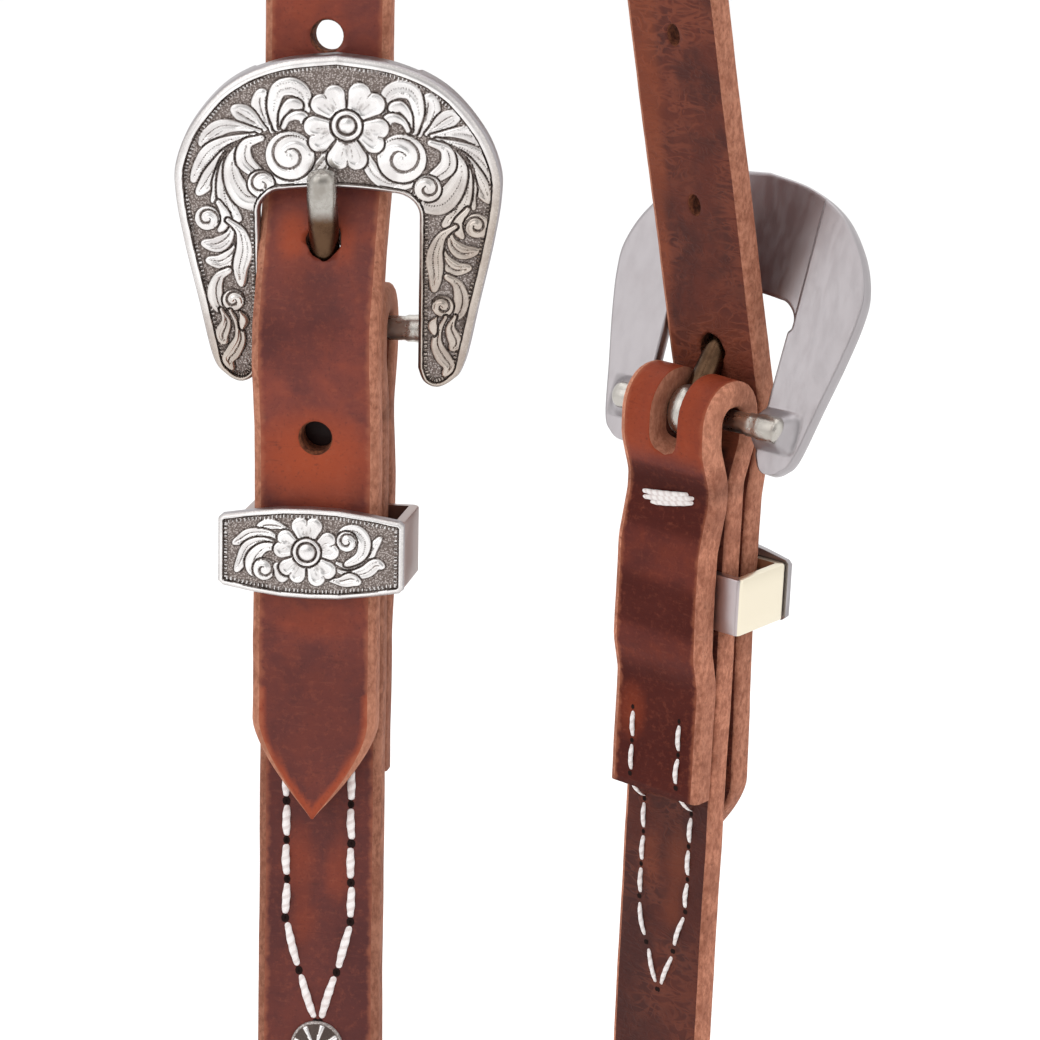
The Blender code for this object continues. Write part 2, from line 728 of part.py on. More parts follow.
def make_buckle_frame(side_name, cheek, materials, parts, cutters):
    outline = [(x, z) for x, z in frame_outline()]
    thickness = FRAME_BACK_Y - FRAME_FRONT_Y
    bm = extruded_outline([outline], thickness)
    bevel_rims(bm, outline, FRAME_RIM_BEVEL, sides=(1,))
    levels = [LUG_HALF_HEIGHT * math.cos(math.pi * k / LUG_LEVELS) for k in range(LUG_LEVELS + 1)]
    slice_at(bm, levels, (0, 1, 0))
    edge = RECESS_HALF_WIDTH
    slice_at(bm, (-edge - RECESS_STEP, -edge, edge, edge + RECESS_STEP), (1, 0, 0))
    slice_at(bm, (-LUG_FULL_X, LUG_FULL_X), (1, 0, 0))
    middle = (FRAME_FRONT_Y + FRAME_BACK_Y) / 2
    for vert in bm.verts:
        x, z, out = vert.co
        y = middle - out
        behind = out < -thickness / 2 + RECESS_STEP / 10
        if behind and abs(z) < LUG_HALF_HEIGHT:
            y += lug_bulge(x, z)
        elif behind and abs(x) <= edge + RECESS_STEP / 10:
            y -= RECESS_DEPTH
        vert.co = (x, y, z)
    frame = new_object(f"{side_name}_buckle_frame", bm, parts, buckle_matrix(cheek))
    bore = turned_profile(bar_profile(BAR_SEAT_GAP), f"{side_name}_bar_seat", cutters)
    bore.matrix_world = buckle_matrix(cheek) @ Matrix.Rotation(math.pi / 2, 4, "Y")
    add_boolean(frame, cutter(bore, cutters))
    return finish(frame, materials["antique_silver"])


def turned_profile(profile, name, collection, sides=TURNED_SIDES):
    """A turned solid: a profile of (radius, height) from its top to its bottom, round Z."""
    bm = bmesh.new()
    verts = [bm.verts.new((radius, 0, height)) for radius, height in reversed(profile)]
    for first, second in zip(verts, verts[1:]):
        bm.edges.new((first, second))
    mesh = bpy.data.meshes.new(name)
    bm.to_mesh(mesh)
    bm.free()
    obj = bpy.data.objects.new(name, mesh)
    collection.objects.link(obj)
    screw = obj.modifiers.new("Screw", "SCREW")
    screw.steps = sides
    screw.render_steps = sides
    screw.use_merge_vertices = True
    screw.merge_threshold = MM / 100
    screw.use_normal_calculate = True
    return obj


def bar_profile(gap):
    """The bar with a rounded head at each end, top to bottom."""
    head = BAR_HEAD_RADIUS + gap
    shank = BAR_RADIUS + gap
    inner = FRAME_OPENING_HALF - BAR_NECK_LENGTH
    outer = FRAME_OPENING_HALF + BAR_HEAD_LENGTH + gap
    dome = []
    for k in range(DOME_STEPS + 1):
        angle = math.pi / 2 * k / DOME_STEPS
        dome.append((head * math.sin(angle), outer - head * (1 - math.cos(angle)) / 2))
    upper = [*dome, (head, FRAME_OPENING_HALF), (shank, inner)]
    return upper + [(radius, -height) for radius, height in reversed(upper)]


def make_buckle_bar(side_name, cheek, materials, parts):
    bar = turned_profile(bar_profile(0), f"{side_name}_buckle_bar", parts)
    bar.matrix_world = buckle_matrix(cheek) @ Matrix.Rotation(math.pi / 2, 4, "Y")
    return finish(bar, materials["steel"])


def make_tongue(side_name, cheek, materials, parts, cutters):
    """A round tongue with a flat-sided eye on the bar and a rounded tip on the crossbar."""
    points = tongue_points()
    bm = bmesh.new()
    rings = []
    rest = (points[1] - points[0]).normalized()
    bend = (rest + Vector((0, 0, 1))).normalized()
    stops = [(points[0], rest, 1.0), (points[1], bend, 1.0), (points[2], Vector((0, 0, 1)), 1.0)]
    for k in range(1, DOME_STEPS):
        angle = math.pi / 2 * k / DOME_STEPS
        up = (points[3] - points[2]) * math.sin(angle)
        stops.append((points[2] + up, Vector((0, 0, 1)), math.cos(angle)))
    for point, along, share in stops:
        ring = ring_at(point, along, TONGUE_RADIUS * share, TONGUE_SIDES)
        rings.append([bm.verts.new(co) for co in ring])
    for lower, upper in zip(rings, rings[1:]):
        for k in range(TONGUE_SIDES):
            n = (k + 1) % TONGUE_SIDES
            bm.faces.new((lower[k], lower[n], upper[n], upper[k]))
    bm.faces.new(rings[0][::-1])
    bm.faces.new(rings[-1])
    tongue = new_object(f"{side_name}_buckle_tongue", bm, parts, tongue_matrix(cheek))
    eye_radius = BAR_RADIUS + TONGUE_EYE_GAP + TONGUE_EYE_WALL
    eye = add_cylinder(f"{side_name}_tongue_eye", eye_radius, 2 * TONGUE_RADIUS, cutters)
    bore_length = 2 * TONGUE_RADIUS + CUT_OVERRUN
    bore = add_cylinder(f"{side_name}_tongue_bore", BAR_RADIUS + TONGUE_EYE_GAP, bore_length, cutters)
    for tool in (eye, bore):
        tool.matrix_world = tongue_matrix(cheek) @ Matrix.Rotation(math.pi / 2, 4, "Y")
    add_boolean(tongue, cutter(eye, cutters), "UNION")
    add_boolean(tongue, cutter(bore, cutters))
    return finish(tongue, materials["steel"])


def add_cylinder(name, radius, length, collection, sides=TURNED_SIDES):
    bm = bmesh.new()
    bmesh.ops.create_cone(
        bm, cap_ends=True, segments=sides, radius1=radius, radius2=radius, depth=length)
    return new_object(name, bm, collection)


def add_box(name, low, high, collection):
    bm = bmesh.new()
    bmesh.ops.create_cube(bm, size=1)
    size = Vector(high) - Vector(low)
    middle = (Vector(high) + Vector(low)) / 2
    bmesh.ops.scale(bm, vec=size, verts=bm.verts[:])
    bmesh.ops.translate(bm, vec=middle, verts=bm.verts[:])
    return new_object(name, bm, collection)


def make_keeper_band(side_name, cheek, materials, parts, cutters):
    front_outer, front_inner, rear_inner, rear_outer = keeper_faces()
    inner_half = STRAP_HALF + KEEPER_SIDE_CLEARANCE
    outer_half = inner_half + KEEPER_WALL
    half = KEEPER_BAND_HEIGHT / 2
    low = (-outer_half, front_outer, -half)
    high = (outer_half, rear_outer, half)
    band = add_box(f"{side_name}_keeper_band", low, high, parts)
    low = (-inner_half, front_inner, -half - CUT_OVERRUN)
    high = (inner_half, rear_inner, half + CUT_OVERRUN)
    room = add_box(f"{side_name}_keeper_room", low, high, cutters)
    place = cheek_matrix(cheek) @ Matrix.Translation((cheek["band_shift"], 0, KEEPER_Z))
    for obj in (band, room):
        obj.matrix_world = place
    add_boolean(band, cutter(room, cutters))
    bevel = band.modifiers.new("Edges", "BEVEL")
    bevel.width = KEEPER_EDGE_BEVEL
    bevel.segments = 2
    bevel.limit_method = "ANGLE"
    bevel.angle_limit = RIM_ANGLE
    return finish(band, materials["nickel"])


def make_keeper_plate(side_name, cheek, materials, parts):
    half_width, half_height = PLATE_WIDTH / 2, PLATE_HEIGHT / 2
    quarter = [(half_width * x, half_height * z) for x, z in PLATE_SHARES]
    upper = quarter + [(-x, z) for x, z in reversed(quarter[:-1])]
    outline = upper + [(x, -z) for x, z in reversed(upper[1:-1])]
    bm = extruded_outline([outline], PLATE_THICKNESS)
    bevel_rims(bm, outline, PLATE_BEVEL, sides=(1,))
    back = keeper_faces()[0] - PLATE_SEAT_GAP
    for vert in bm.verts:
        x, z, out = vert.co
        vert.co = (x, back - PLATE_THICKNESS / 2 - out, z)
    place = cheek_matrix(cheek) @ Matrix.Translation((0, 0, KEEPER_Z))
    plate = new_object(f"{side_name}_keeper_plate", bm, parts, place)
    return finish(plate, materials["antique_silver"])


def dome_profile(radius, base, rise):
    """A low dome from its crown down to its rim, as (radius, height)."""
    points = []
    for k in range(DOME_STEPS + 1):
        angle = math.pi / 2 * k / DOME_STEPS
        points.append((radius * math.sin(angle), base + rise * math.cos(angle)))
    return points


def spot_profile(gap):
    """The spot's rim, dome and blind pin. The pin points down its own Z axis."""
    rim = SPOT_RADIUS + gap
    pin = SPOT_PIN_RADIUS + gap
    under = -SPOT_SEAT_DEPTH - gap
    top = dome_profile(rim, SPOT_RIM_HEIGHT, SPOT_DOME_HEIGHT)
    return [*top, (rim, under), (pin, under), (pin, under - SPOT_PIN_LENGTH),
            (0, under - SPOT_PIN_LENGTH)]


def spot_place():
    """Where the spot sits: on the grain side, its pin going into the leather."""
    face = -LAYER_GAP / 2 - STRAP_THICKNESS
    return Matrix.Translation((0, face, SPOT_Z)) @ Matrix.Rotation(math.pi / 2, 4, "X")


def make_spot(side_name, cheek, materials, parts):
    spot = turned_profile(spot_profile(0), f"{side_name}_spot", parts)
    spot.matrix_world = cheek_matrix(cheek) @ spot_place()
    return finish(spot, materials["antique_silver"])


def screw_stack():
    """Both leather layers between the two heads: front face, back face and the heads' seats."""
    face = LAYER_GAP / 2 + STRAP_THICKNESS
    return -face - SEAT_GAP, face + SEAT_GAP


def make_screw_pair(side_name, number, height, cheek, materials, parts, cutters):
    """A two-part screw: a post with a head behind and a slotted screw in front."""
    front, back = screw_stack()
    span = back - front
    head = dome_profile(POST_HEAD_RADIUS, POST_HEAD_HEIGHT / 2, POST_HEAD_HEIGHT / 2)
    bore = POST_BORE_RADIUS
    barrel = -span + SEAT_GAP
    post = [*head, (POST_HEAD_RADIUS, 0), (POST_RADIUS, 0), (POST_RADIUS, barrel),
            (bore, barrel), (bore, -POST_BOTTOM_WALL), (0, -POST_BOTTOM_WALL)]
    post_obj = turned_profile(post, f"{side_name}_screw_post_{number}", parts)
    place = cheek_matrix(cheek) @ Matrix.Translation((0, back, height))
    post_obj.matrix_world = place @ Matrix.Rotation(-math.pi / 2, 4, "X")
    shank = -span + POST_BOTTOM_WALL + SEAT_GAP
    screw = [*head, (POST_HEAD_RADIUS, 0), (SCREW_SHANK_RADIUS, 0), (SCREW_SHANK_RADIUS, shank),
             (0, shank)]
    screw_obj = turned_profile(screw, f"{side_name}_screw_{number}", parts)
    place = cheek_matrix(cheek) @ Matrix.Translation((0, front, height))
    screw_obj.matrix_world = place @ Matrix.Rotation(math.pi / 2, 4, "X")
    slot_low = (-POST_HEAD_RADIUS - CUT_OVERRUN, -SCREW_SLOT_WIDTH / 2, POST_HEAD_HEIGHT - SCREW_SLOT_DEPTH)
    slot_high = (POST_HEAD_RADIUS + CUT_OVERRUN, SCREW_SLOT_WIDTH / 2, POST_HEAD_HEIGHT + CUT_OVERRUN)
    slot = add_box(f"{side_name}_screw_slot_{number}", slot_low, slot_high, cutters)
    slot.matrix_world = screw_obj.matrix_world.copy()
    add_boolean(screw_obj, cutter(slot, cutters))
    finish(post_obj, materials["nickel"])
    finish(screw_obj, materials["nickel"])


def ear_matrix():
    """The ear piece's frame on the near leg: Z up the leg, -Y out of its grain side."""
    lower, upper = near_leg()
    up = (upper - lower).normalized()
    across = Vector((1, 0, 0))
    across = (across - up * up.dot(across)).normalized()
    back = up.cross(across)
    place = upper - up * EAR_BELOW_CROWN
    turn = Matrix((across, back, up)).transposed()
    return Matrix.Translation(place) @ turn.to_4x4()


def ear_route():
    """The arch over the ear, from one sewn loop to the other."""
    base = -LEATHER_HALF - EAR_CLEARANCE - EAR_THICKNESS / 2
    crest = base - EAR_RISE
    half = EAR_LENGTH / 2
    foot = half - EAR_LOOP_LENGTH
    corners = (
        (base, -half, 0),
        (base, -foot, EAR_BEND_RADIUS / 2),
        (crest, -foot + EAR_SHOULDER, EAR_BEND_RADIUS),
        (crest, foot - EAR_SHOULDER, EAR_BEND_RADIUS),
        (base, foot, EAR_BEND_RADIUS / 2),
        (base, half, 0),
    )
    return Route(local_points(corners))


def make_ear_piece(materials, parts, cutters):
    route = ear_route()
    half = EAR_WIDTH / 2
    outline = [(0, -half), (route.length, -half), (route.length, half), (0, half)]
    bm = extruded_outline([outline], EAR_THICKNESS)
    bevel_rims(bm, outline, EAR_THICKNESS / 4)
    bend_strap(bm, route, lambda _: Vector((1, 0, 0)), route.stations())
    ear = new_object("ear_piece", bm, parts, ear_matrix())
    inner_x = STRAP_HALF + EAR_CLEARANCE
    inner_y = LEATHER_HALF + EAR_CLEARANCE
    for end in (-1, 1):
        middle = end * (EAR_LENGTH - EAR_LOOP_LENGTH) / 2
        tall = EAR_LOOP_LENGTH / 2
        wall = EAR_THICKNESS
        low = (-inner_x - wall, -inner_y - wall + LAYER_GAP, middle - tall)
        high = (inner_x + wall, inner_y + wall, middle + tall)
        loop = add_box(f"ear_loop_{end}", low, high, cutters)
        low = (-inner_x, -inner_y, middle - tall - CUT_OVERRUN)
        high = (inner_x, inner_y, middle + tall + CUT_OVERRUN)
        room = add_box(f"ear_room_{end}", low, high, cutters)
        for obj in (loop, room):
            obj.matrix_world = ear_matrix()
        add_boolean(ear, cutter(loop, cutters), "UNION")
        add_boolean(ear, cutter(room, cutters))
    return finish(ear, materials["leather"])


def make_materials():
    return {
        "leather": new_material("harness_leather", (0.27, 0.075, 0.035), 0.42, 0.0),
        "antique_silver": new_material("antique_silver", (0.62, 0.60, 0.57), 0.30, 1.0),
        "nickel": new_material("polished_nickel", (0.78, 0.76, 0.70), 0.16, 1.0),
        "steel": new_material("plated_steel", (0.55, 0.53, 0.49), 0.28, 1.0),
    }


def main():
    clear_objects()
    parts = new_collection("western_headstall")
    cutters = new_collection("cutters")
    materials = make_materials()
    make_crown_strap(materials, parts, cutters)
    make_ear_piece(materials, parts, cutters)
    for side_name, cheek in CHEEKS.items():
        make_cheek_strap(side_name, cheek, materials, parts, cutters)
        make_buckle_frame(side_name, cheek, materials, parts, cutters)
        make_buckle_bar(side_name, cheek, materials, parts)
        make_tongue(side_name, cheek, materials, parts, cutters)
        make_keeper_band(side_name, cheek, materials, parts, cutters)
        make_keeper_plate(side_name, cheek, materials, parts)
        make_spot(side_name, cheek, materials, parts)
        for number, height in enumerate(screw_heights(), 1):
            make_screw_pair(side_name, number, height, cheek, materials, parts, cutters)


main()
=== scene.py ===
"""Looks of the western headstall: dressed leather, engraved metal, thread, camera and light."""

import math

import bmesh
import bpy
import numpy as np
from mathutils import Matrix, Vector
from mathutils.kdtree import KDTree


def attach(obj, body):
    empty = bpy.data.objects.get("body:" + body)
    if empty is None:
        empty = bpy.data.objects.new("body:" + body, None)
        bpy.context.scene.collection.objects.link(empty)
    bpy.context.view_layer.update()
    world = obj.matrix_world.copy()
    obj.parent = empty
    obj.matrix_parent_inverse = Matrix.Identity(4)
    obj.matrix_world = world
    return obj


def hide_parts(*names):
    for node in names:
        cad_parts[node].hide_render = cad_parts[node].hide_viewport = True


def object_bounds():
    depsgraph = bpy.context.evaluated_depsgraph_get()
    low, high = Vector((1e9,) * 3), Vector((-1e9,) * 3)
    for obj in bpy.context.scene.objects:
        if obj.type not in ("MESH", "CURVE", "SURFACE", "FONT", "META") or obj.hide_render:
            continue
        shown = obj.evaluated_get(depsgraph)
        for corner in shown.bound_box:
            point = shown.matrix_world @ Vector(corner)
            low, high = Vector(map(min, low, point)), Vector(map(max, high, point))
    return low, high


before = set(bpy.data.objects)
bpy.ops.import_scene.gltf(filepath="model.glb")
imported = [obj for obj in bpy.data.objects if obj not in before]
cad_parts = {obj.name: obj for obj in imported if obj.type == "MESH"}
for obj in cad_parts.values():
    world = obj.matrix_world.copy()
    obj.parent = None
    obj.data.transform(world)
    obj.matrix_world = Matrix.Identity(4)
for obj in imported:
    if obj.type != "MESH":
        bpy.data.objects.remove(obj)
cad_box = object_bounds()

MM = 0.001
DEGREE = math.pi / 180
X_AXIS = Vector((1, 0, 0))

# Sizes shared with the solids
STRAP_WIDTH = 15.9 * MM
STRAP_THICKNESS = 3.8 * MM
LAYER_GAP = 0.3 * MM
STRAP_HALF = STRAP_WIDTH / 2
LEATHER_HALF = STRAP_THICKNESS / 2
LAYER_Y = (STRAP_THICKNESS + LAYER_GAP) / 2
HOOK_BEND_RADIUS = 14.0 * MM
POINT_LENGTH = 12.5 * MM
POINT_POWER = 1.5
FIRST_HOLE_FROM_TIP = 49.4 * MM
HOLE_PITCH = 25.4 * MM
HOLE_COUNT = 6
BUCKLED_HOLE = 1
HOLE_RADIUS = 2.05 * MM
BILLET_EXIT_Z = 60.0 * MM
BILLET_BEND_RADIUS = 12.0 * MM
TWIST_SPAN = 26.0 * MM
BAR_RADIUS = 1.55 * MM
EYE_CLEARANCE = 0.45 * MM
EYE_SIDE_CLEARANCE = 0.85 * MM
EYE_FOOT_Z = -3.5 * MM
PINCH_TOP_Z = -9.5 * MM
PINCH_END_Z = -12.5 * MM
FOLD_SLOT_WIDTH = 4.6 * MM
FOLD_SLOT_DROP = 4.6 * MM
TAIL_END_Z = -57.7 * MM
TAIL_BEND_RADIUS = 6.0 * MM
KEEPER_Z = -27.0 * MM
KEEPER_BAND_HEIGHT = 8.6 * MM
KEEPER_WALL = 1.2 * MM
KEEPER_SIDE_CLEARANCE = 1.4 * MM
KEEPER_SLIDE = 3.0 * MM
BILLET_SLACK = 0.8 * MM
PLATE_WIDTH = 23.5 * MM
PLATE_HEIGHT = 11.4 * MM
PLATE_THICKNESS = 1.3 * MM
PLATE_SEAT_GAP = 0.2 * MM
POCKET_RAMP = 5.5 * MM
BIT_LOOP_HALF_WIDTH = 9.5 * MM
BIT_LOOP_HEIGHT = 17.0 * MM
BIT_LOOP_BEND_RADIUS = 7.0 * MM
BIT_LOOP_BOTTOM_Z = -200.0 * MM
BIT_LOOP_NECK = 9.0 * MM
BIT_TAIL_TOP_Z = -136.0 * MM
SCREW_FROM_TAIL_TOP = 9.0 * MM
SCREW_PITCH = 19.0 * MM
SCREWS_PER_CHEEK = 2
POST_RADIUS = 2.6 * MM
SEAT_GAP = 0.3 * MM
SPOT_Z = -94.8 * MM
SPOT_RADIUS = 3.4 * MM
FRAME_HALF_WIDTH = 20.3 * MM
FRAME_TOP_Z = 35.8 * MM
FRAME_FOOT_DROP = 6.3 * MM
FRAME_OPENING_HALF = 10.3 * MM
FRAME_OPENING_TOP_Z = 19.2 * MM
FRAME_OPENING_CORNER = 3.4 * MM
FRAME_OPENING_ARCH_SHARE = 0.14
FRAME_FRONT_Y = -4.1 * MM
FRAME_BACK_Y = -1.6 * MM
RECESS_HALF_WIDTH = 9.6 * MM
RECESS_DEPTH = 0.8 * MM
RECESS_STEP = 0.5 * MM
LUG_HALF_HEIGHT = 3.2 * MM
LUG_DEPTH = 3.3 * MM
LUG_FULL_X = 13.0 * MM
LUG_EDGE_X = 15.9 * MM
BAR_HEAD_RADIUS = 1.95 * MM
BAR_HEAD_LENGTH = 4.0 * MM
TONGUE_RADIUS = 1.9 * MM
TONGUE_EYE_WALL = 2.0 * MM
TONGUE_EYE_GAP = 0.25 * MM
TONGUE_REST_GAP = 0.45 * MM
TONGUE_TIP_Z = 22.2 * MM
EAR_WIDTH = 12.7 * MM
EAR_THICKNESS = 2.6 * MM
EAR_LENGTH = 104.0 * MM
EAR_LOOP_LENGTH = 14.0 * MM
EAR_RISE = 34.0 * MM
EAR_SHOULDER = 30.0 * MM
EAR_BEND_RADIUS = 14.0 * MM
EAR_CLEARANCE = 0.6 * MM
EAR_BELOW_CROWN = 96.0 * MM

# Sizes of the looks alone
COARSE_STEP = 3.0 * MM
FINE_STEP = 1.0 * MM
NEAR_BILLET_DETAIL = 185.0 * MM
FAR_BILLET_DETAIL = 205.0 * MM
FACE_POINTS = 14
EDGE_BULGE = 0.03 * MM
GRAIN_CROWN = 0.06 * MM
STITCH_ROW = 4.25 * MM
STITCH_PITCH = 5.2 * MM
STITCH_LENGTH = 4.35 * MM
STITCH_TOP_Z = -45.5 * MM
STITCH_V_Z = -80.0 * MM
STITCH_TIP_Z = -90.5 * MM
STITCH_RISE = 0.42 * MM
STITCH_TURN = 0.25 * MM
STITCH_JITTER = 0.16 * MM
THREAD_RADIUS = 0.52 * MM
REAR_THREAD_SHARE = 0.72
TWIST_PITCH = 1.7 * MM
BAR_STITCH_DROP = 1.6 * MM
BAR_STITCH_SPACE = 0.45 * MM
BAR_STITCH_FRONT_LIFT = 2.7 * MM
DRAW_UNIT = 0.015594 * MM
DRAWING_X = (-21.3435, 0.015594, -0.0000952)
DRAWING_Z = (37.5034, 0.00047, -0.0160786)
FLOWER_OFFSET = 1.1
PLATE_DRAW_UNIT = 0.0279 * MM
RELIEF = 0.60 * MM
PLATE_RELIEF = 0.55 * MM
CARVED_FACE_DROP = 0.30 * MM
RIM_WIDTH = 1.00 * MM
INNER_RIM_WIDTH = 0.52 * MM
FOOT_RIM_WIDTH = 0.55 * MM
PLATE_RIM_WIDTH = 0.62 * MM
TICK_PITCH = 0.52 * MM
TICK_LENGTH = 0.62 * MM
FRAME_DRAFT = 0.22 * MM
LEG_INSET = 0.45 * MM
RECESS_EASE = 0.3 * MM
RECESS_EXTRA_DEPTH = 0.08 * MM
SPOT_LIFT = 1.1 * MM
FLOOR_DROP = 12.0 * MM
FLOOR_SIZE = 30.0

CHEEKS = {
    "near": {
        "bar": Vector((-5.6, -8.6, -282.0)) * MM,
        "yaw": -8.6 * DEGREE,
        "lean": 1.2 * DEGREE,
        "roll": 1.2 * DEGREE,
        "billet_lean": 0.0 * DEGREE,
        "billet_roll": 0.0 * DEGREE,
        "billet_pass_y": -1.5 * MM,
        "tip_z": -62.0 * MM,
        "tip_flare": 0.3 * MM,
        "swing": 7.5 * DEGREE,
        "frame_yaw": 4.0 * DEGREE,
        "frame_shift": 1.6 * MM,
        "band_shift": 1.1 * MM,
    },
    "far": {
        "bar": Vector((42.7, 69.9, -305.6)) * MM,
        "yaw": 141.0 * DEGREE,
        "lean": -4.6 * DEGREE,
        "roll": -6.9 * DEGREE,
        "billet_lean": -10.0 * DEGREE,
        "billet_roll": 4.6 * DEGREE,
        "billet_pass_y": None,
        "tip_z": -69.6 * MM,
        "tip_flare": 1.2 * MM,
        "swing": 22.5 * DEGREE,
        "frame_yaw": 5.0 * DEGREE,
        "frame_shift": -1.6 * MM,
        "band_shift": -1.1 * MM,
    },
}

FRAME_OUTER_SHARES = (
    (0.0, 1.0), (0.36, 0.97), (0.66, 0.89), (0.88, 0.75), (0.985, 0.61),
    (0.99, 0.49), (0.94, 0.32), (0.86, 0.12), (0.775, -0.09),
)
FRAME_FOOT_SHARES = ((0.70, -0.86), (0.61, -1.0), (0.535, -0.9), (0.50, -0.62))
PLATE_SHARES = (
    (1.0, 0.0), (1.0, 0.70), (0.955, 0.785), (0.62, 0.90), (0.30, 0.985), (0.0, 1.0),
)

# Camera: the photograph's own angle, from a fit of the strap edges, holes and buckle outlines
CAMERA_TARGET = CHEEKS["near"]["bar"] + Vector((24.0, 0.0, -24.9)) * MM
CAMERA_DISTANCE = 600.0 * MM
CAMERA_DOWN = 10.6 * DEGREE
CAMERA_LENS = 163.7


# Placing
def cheek_matrix(cheek):
    turn = Matrix.Rotation(cheek["yaw"], 4, "Z") @ Matrix.Rotation(cheek["lean"], 4, "X")
    return Matrix.Translation(cheek["bar"]) @ turn @ Matrix.Rotation(cheek["roll"], 4, "Y")


def buckle_matrix(cheek):
    shift = Matrix.Translation((cheek["frame_shift"], 0, 0))
    yaw = Matrix.Rotation(cheek["frame_yaw"], 4, "Z")
    return cheek_matrix(cheek) @ shift @ yaw @ Matrix.Rotation(cheek["swing"], 4, "X")


def tongue_matrix(cheek):
    return buckle_matrix(cheek) @ Matrix.Translation((-cheek["frame_shift"], 0, 0))


# Routes, as in the solids
class Route:
    def __init__(self, corners):
        self.pieces = []
        self.length = 0.0
        start = corners[0][0]
        for index in range(1, len(corners) - 1):
            corner, radius = corners[index]
            run_in = (corner - corners[index - 1][0]).normalized()
            run_out = (corners[index + 1][0] - corner).normalized()
            turn = run_in.angle(run_out)
            trim = radius * math.tan(turn / 2)
            self.add_run(start, corner - run_in * trim)
            self.add_arc(corner - run_in * trim, run_in, run_out, radius, turn)
            start = corner + run_out * trim
        self.add_run(start, corners[-1][0])

    def add_run(self, start, end):
        span = (end - start).length
        self.pieces.append((self.length, span, start, (end - start).normalized(), None, 0.0))
        self.length += span

    def add_arc(self, start, run_in, run_out, radius, turn):
        across = (run_out - run_in * run_in.dot(run_out)).normalized()
        self.pieces.append((self.length, radius * turn, start, run_in, across, radius))
        self.length += radius * turn

    def at(self, distance):
        piece = next((p for p in self.pieces if distance <= p[0] + p[1]), self.pieces[-1])
        begin, _, start, along, across, radius = piece
        step = distance - begin
        if across is None:
            return start + along * step, along
        angle = step / radius
        point = start + along * (radius * math.sin(angle)) + across * (radius * (1 - math.cos(angle)))
        return point, along * math.cos(angle) + across * math.sin(angle)


def fold_radii():
    side = BAR_RADIUS + EYE_SIDE_CLEARANCE + LEATHER_HALF
    top = BAR_RADIUS + EYE_CLEARANCE + LEATHER_HALF
    return side, top


def keeper_faces():
    rear_inner = LAYER_GAP / 2
    billet_back = -LAYER_GAP / 2 - STRAP_THICKNESS - BILLET_SLACK
    front_inner = billet_back - STRAP_THICKNESS - LAYER_GAP
    return front_inner - KEEPER_WALL, front_inner, rear_inner, rear_inner + KEEPER_WALL


def local_points(corners):
    return [(Vector((0, y, z)), radius) for y, z, radius in corners]


def cheek_route():
    side, top = fold_radii()
    loop = BIT_LOOP_HALF_WIDTH + LEATHER_HALF
    loop_top = BIT_LOOP_BOTTOM_Z + BIT_LOOP_HEIGHT
    bottom = BIT_LOOP_BOTTOM_Z - LEATHER_HALF
    pocket = keeper_faces()[3] + LAYER_GAP + LEATHER_HALF
    pocket_half = KEEPER_BAND_HEIGHT / 2 + KEEPER_SLIDE + LAYER_GAP
    soft = TAIL_BEND_RADIUS
    corners = (
        (LAYER_Y, BIT_TAIL_TOP_Z, 0),
        (LAYER_Y, loop_top + BIT_LOOP_NECK, soft),
        (loop, loop_top, soft),
        (loop, bottom, BIT_LOOP_BEND_RADIUS),
        (-loop, bottom, BIT_LOOP_BEND_RADIUS),
        (-loop, loop_top, soft),
        (-LAYER_Y, loop_top + BIT_LOOP_NECK, soft),
        (-LAYER_Y, PINCH_TOP_Z, soft),
        (-side, EYE_FOOT_Z, soft),
        (-side, top, top),
        (side, top, top),
        (side, EYE_FOOT_Z, soft),
        (LAYER_Y, PINCH_TOP_Z, soft),
        (LAYER_Y, PINCH_END_Z, soft),
        (pocket, KEEPER_Z + pocket_half, soft),
        (pocket, KEEPER_Z - pocket_half, soft),
        (LAYER_Y, KEEPER_Z - pocket_half - POCKET_RAMP, soft),
        (LAYER_Y, TAIL_END_Z, 0),
    )
    return Route(local_points(corners))


def billet_corners(cheek):
    side, _ = fold_radii()
    at_keeper = -LAYER_GAP / 2 - STRAP_THICKNESS - BILLET_SLACK - LEATHER_HALF
    over_fold = -side - LEATHER_HALF - LAYER_GAP - LEATHER_HALF
    bend = BILLET_BEND_RADIUS
    corners = [
        (at_keeper - cheek["tip_flare"], cheek["tip_z"], 0),
        (at_keeper, KEEPER_Z - KEEPER_BAND_HEIGHT, bend),
        (at_keeper, PINCH_END_Z, bend),
        (over_fold, EYE_FOOT_Z, bend),
        (over_fold, BAR_RADIUS, bend / 2),
    ]
    if cheek["billet_pass_y"] is not None:
        corners.append((cheek["billet_pass_y"], FRAME_OPENING_TOP_Z, bend))
        corners.append((cheek["billet_pass_y"], BILLET_EXIT_Z, bend))
        return corners
    rise = BILLET_EXIT_Z - BAR_RADIUS
    corners.append((over_fold - rise * math.tan(cheek["billet_lean"]), BILLET_EXIT_Z, bend))
    return corners


def billet_points(cheek):
    place = cheek_matrix(cheek)
    roll = Matrix.Rotation(cheek["billet_roll"], 4, "Y")
    points = []
    for y, z, radius in billet_corners(cheek):
        local = Vector((0, y, z))
        if z > BAR_RADIUS:
            local = roll @ local
        points.append((place @ local, radius))
    return points


def crown_route():
    near = billet_points(CHEEKS["near"])
    far = billet_points(CHEEKS["far"])
    bend = HOOK_BEND_RADIUS
    hook = [(Vector((0, y, LEATHER_HALF)), bend) for y in (-bend, bend)]
    return Route(near + hook + far[::-1])


def billet_length(cheek):
    points = billet_points(cheek)
    return sum((b[0] - a[0]).length for a, b in zip(points, points[1:]))


